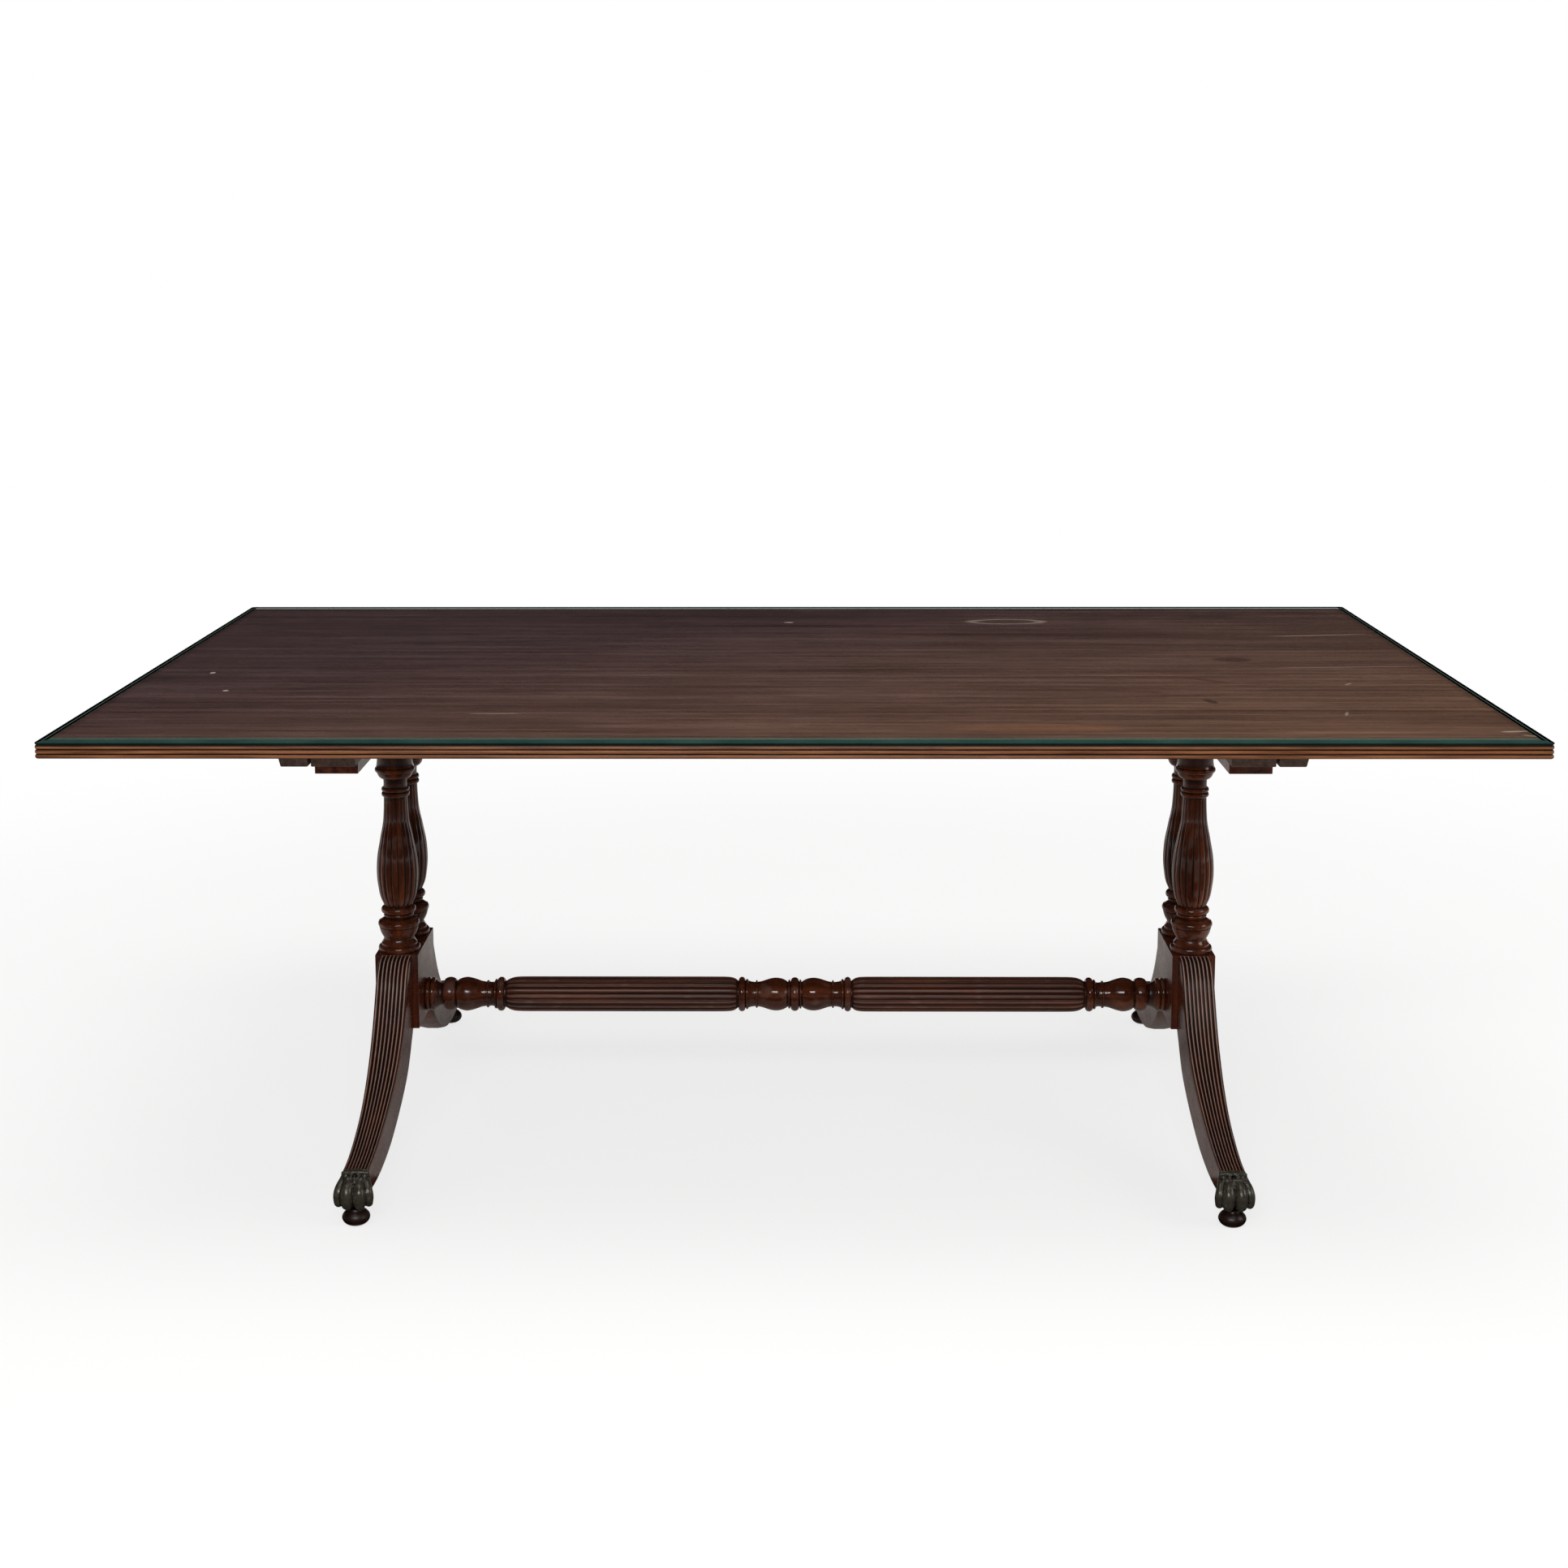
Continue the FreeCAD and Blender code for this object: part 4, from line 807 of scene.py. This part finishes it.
def addScrew(name, x, y, z, turn):
    points, count = [], screw["sides"]
    ways = [2 * math.pi * k / count + turn for k in range(count)]
    for radius, drop in ((screw["radius"], screw["stand"]), (screw["radius"], -screw["sink"]),
                         (screw["radius"] * screw["crownShare"], -screw["crown"])):
        points += [(x + radius * math.cos(w), y + radius * math.sin(w), z + drop) for w in ways]
    faces = ringFaces(3, count)
    picks = [0] * len(faces) + [1] * len(barFaces)
    # the driver slot is drawn as a dark bar across the head in the patina colour, a painted shade of the sunk
    # slot
    along = Vector((math.cos(turn), math.sin(turn), 0)) * screw["radius"] * screw["slotShare"]
    across = Vector((-math.sin(turn), math.cos(turn), 0)) * screw["slot"] / 2
    start = len(points)
    for drop in (screw["slotLow"], screw["slotHigh"]):
        points += [Vector((x, y, z - drop)) + along * a + across * b
                   for a, b in ((-1, -1), (1, -1), (1, 1), (-1, 1))]
    faces += [tuple(start + i for i in face) for face in barFaces]
    addPiece(name, points, faces, [dullBrass, patinatedBronze], [], sharp=30, picks=picks)


for end in ("left", "right"):
    for node, places in screwPlaces.items():
        low, high = [v * 1000 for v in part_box(node + end)]
        for k, share in enumerate(places):
            addScrew("screw_" + node + end + "_" + str(k + 1),
                     (low.x + high.x) / 2 + (-1) ** k * screw["stagger"],
                     (low.y + high.y) / 2 + (high.y - low.y) * share, low.z,
                     screw["turnStep"] * k + screw["firstTurn"])
print("screws driven")

# Matt white floor that keeps the shadow near the table and turns to plain white further off.
floorLook = {"colour": "#f4f3f1", "radius": 40, "sides": 96, "near": 1.5, "far": 3.4, "glow": 0.75}
pale, tree = startMaterial("pale_matt_floor")
onFloor = addNode(tree, "TexCoord").outputs["Object"]
away = addNode(tree, "VectorMath", links={0: onFloor}, operation="LENGTH").outputs["Value"]
fade = addNode(tree, "MapRange", {1: floorLook["near"], 2: floorLook["far"], 3: floorLook["glow"], 4: 1},
               {0: away}, interpolation_type="SMOOTHSTEP")
share = addNode(tree, "Math", links={0: fade, 1: seenDirectly(tree)}, operation="MULTIPLY")
matt = addNode(tree, "BsdfDiffuse", {"Color": linear(floorLook["colour"])})
white = addNode(tree, "Emission", {"Color": (1, 1, 1, 1), "Strength": 1.0})
blend = addNode(tree, "MixShader", links={0: share, 1: matt, 2: white})
addNode(tree, "OutputMaterial", links={"Surface": blend})
count = floorLook["sides"]
ways = [2 * math.pi * k / count for k in range(count)]
ground = bpy.data.meshes.new("floor")
ground.from_pydata([(floorLook["radius"] * math.cos(w), floorLook["radius"] * math.sin(w), 0) for w in ways],
                   [], [tuple(range(count))])
ground.materials.append(pale)
floor = bpy.data.objects.new("floor", ground)
bpy.context.scene.collection.objects.link(floor)

# A dark curtain right round the set and a dark cloth on the floor before the table, seen only in reflections,
# keep the glass and the polished fronts from mirroring the white room. A pale cloth lies under and behind it.
curtain = {"radius": 9, "low": 0.3, "high": 15, "cloths": ("#0c0b0b", "#d6d0cb"), "lift": 0.003,
           "half": 5, "rows": (-8.5, -0.3, 3.5)}
flagMesh = bpy.data.meshes.new("curtain")
for colour in curtain["cloths"]:
    cloth, tree = startMaterial("wool_felt_cloth")
    matt = addNode(tree, "BsdfDiffuse", {"Color": linear(colour)})
    addNode(tree, "OutputMaterial", links={"Surface": matt})
    flagMesh.materials.append(cloth)
flagPoints = [(curtain["radius"] * math.cos(w), curtain["radius"] * math.sin(w), h)
              for h in (curtain["low"], curtain["high"]) for w in ways]
flagPoints += [(side * curtain["half"], y, curtain["lift"]) for y in curtain["rows"] for side in (-1, 1)]
flagFaces = [(k, (k + 1) % count, count + (k + 1) % count, count + k) for k in range(count)]
flagFaces += [(2 * count + k, 2 * count + k + 1, 2 * count + k + 3, 2 * count + k + 2) for k in (0, 2)]
flagMesh.from_pydata(flagPoints, [], flagFaces)
flagMesh.polygons[-1].material_index = 1
flag = bpy.data.objects.new("curtain", flagMesh)
bpy.context.scene.collection.objects.link(flag)
flag.visible_camera = flag.visible_diffuse = flag.visible_shadow = False

# White room, at half strength as a light.
roomLight = 0.5
room = bpy.data.worlds.new("studio")
bpy.context.scene.world = room
room.use_nodes = True
tree = room.node_tree
tree.nodes.clear()
dim = addNode(tree, "Background", {"Color": (1, 1, 1, 1), "Strength": roomLight})
white = addNode(tree, "Background", {"Color": (1, 1, 1, 1), "Strength": 1.0})
blend = addNode(tree, "MixShader", links={0: seenDirectly(tree), 1: dim, 2: white})
addNode(tree, "OutputWorld", links={"Surface": blend})

lamps = {  # place and aim in metres, size, watts
    "keyAboveCamera": ((-0.4, -3.9, 2.6), (0, 0, 0.45), (2.2, 0.5), 62),
    "overhead": ((0.2, -0.6, 4.2), (0, 0, 0.5), (3.4, 2.2), 90),
    "rightFill": ((4.2, -1.6, 2.2), (0, 0, 0.4), (1.6, 1.6), 30),
}
for name, (place, aim, size, watts) in lamps.items():
    lamp = bpy.data.lights.new(name, "AREA")
    lamp.shape, lamp.size, lamp.size_y, lamp.energy = "RECTANGLE", size[0], size[1], watts
    holder = bpy.data.objects.new(name, lamp)
    holder.location = place
    holder.rotation_euler = (Vector(aim) - Vector(place)).to_track_quat("-Z", "Y").to_euler()
    bpy.context.scene.collection.objects.link(holder)

# Camera fitted to the photograph: place in mm, angles in radians, focal length and centre in its pixels.
view = {"place": (18.35, -3821.02, 1391.09), "pitch": 0.154259, "yaw": -0.009245, "roll": -0.001552,
        "focal": 2957.71, "centre": (966, 784.80), "frame": 1932, "sensor": 36, "near": 0.05, "far": 200}
lens = bpy.data.cameras.new("camera")
lens.sensor_width, lens.lens = view["sensor"], view["sensor"] * view["focal"] / view["frame"]
lens.shift_x = (view["frame"] / 2 - view["centre"][0]) / view["frame"]
lens.shift_y = (view["centre"][1] - view["frame"] / 2) / view["frame"]
lens.clip_start, lens.clip_end = view["near"], view["far"]
camera = bpy.data.objects.new("camera", lens)
flat = math.cos(view["pitch"])
ahead = Vector((math.sin(view["yaw"]) * flat, math.cos(view["yaw"]) * flat, -math.sin(view["pitch"])))
level = Vector((math.cos(view["yaw"]), -math.sin(view["yaw"]), 0))
above = level.cross(ahead)
across = level * math.cos(view["roll"]) + above * math.sin(view["roll"])
upright = above * math.cos(view["roll"]) - level * math.sin(view["roll"])
turn = Matrix((across, upright, -ahead)).transposed().to_4x4()
camera.matrix_world = Matrix.Translation(Vector(view["place"]) / 1000) @ turn
bpy.context.scene.collection.objects.link(camera)
bpy.context.scene.camera = camera
bpy.context.scene.view_settings.view_transform = "Standard"
print("stage set")
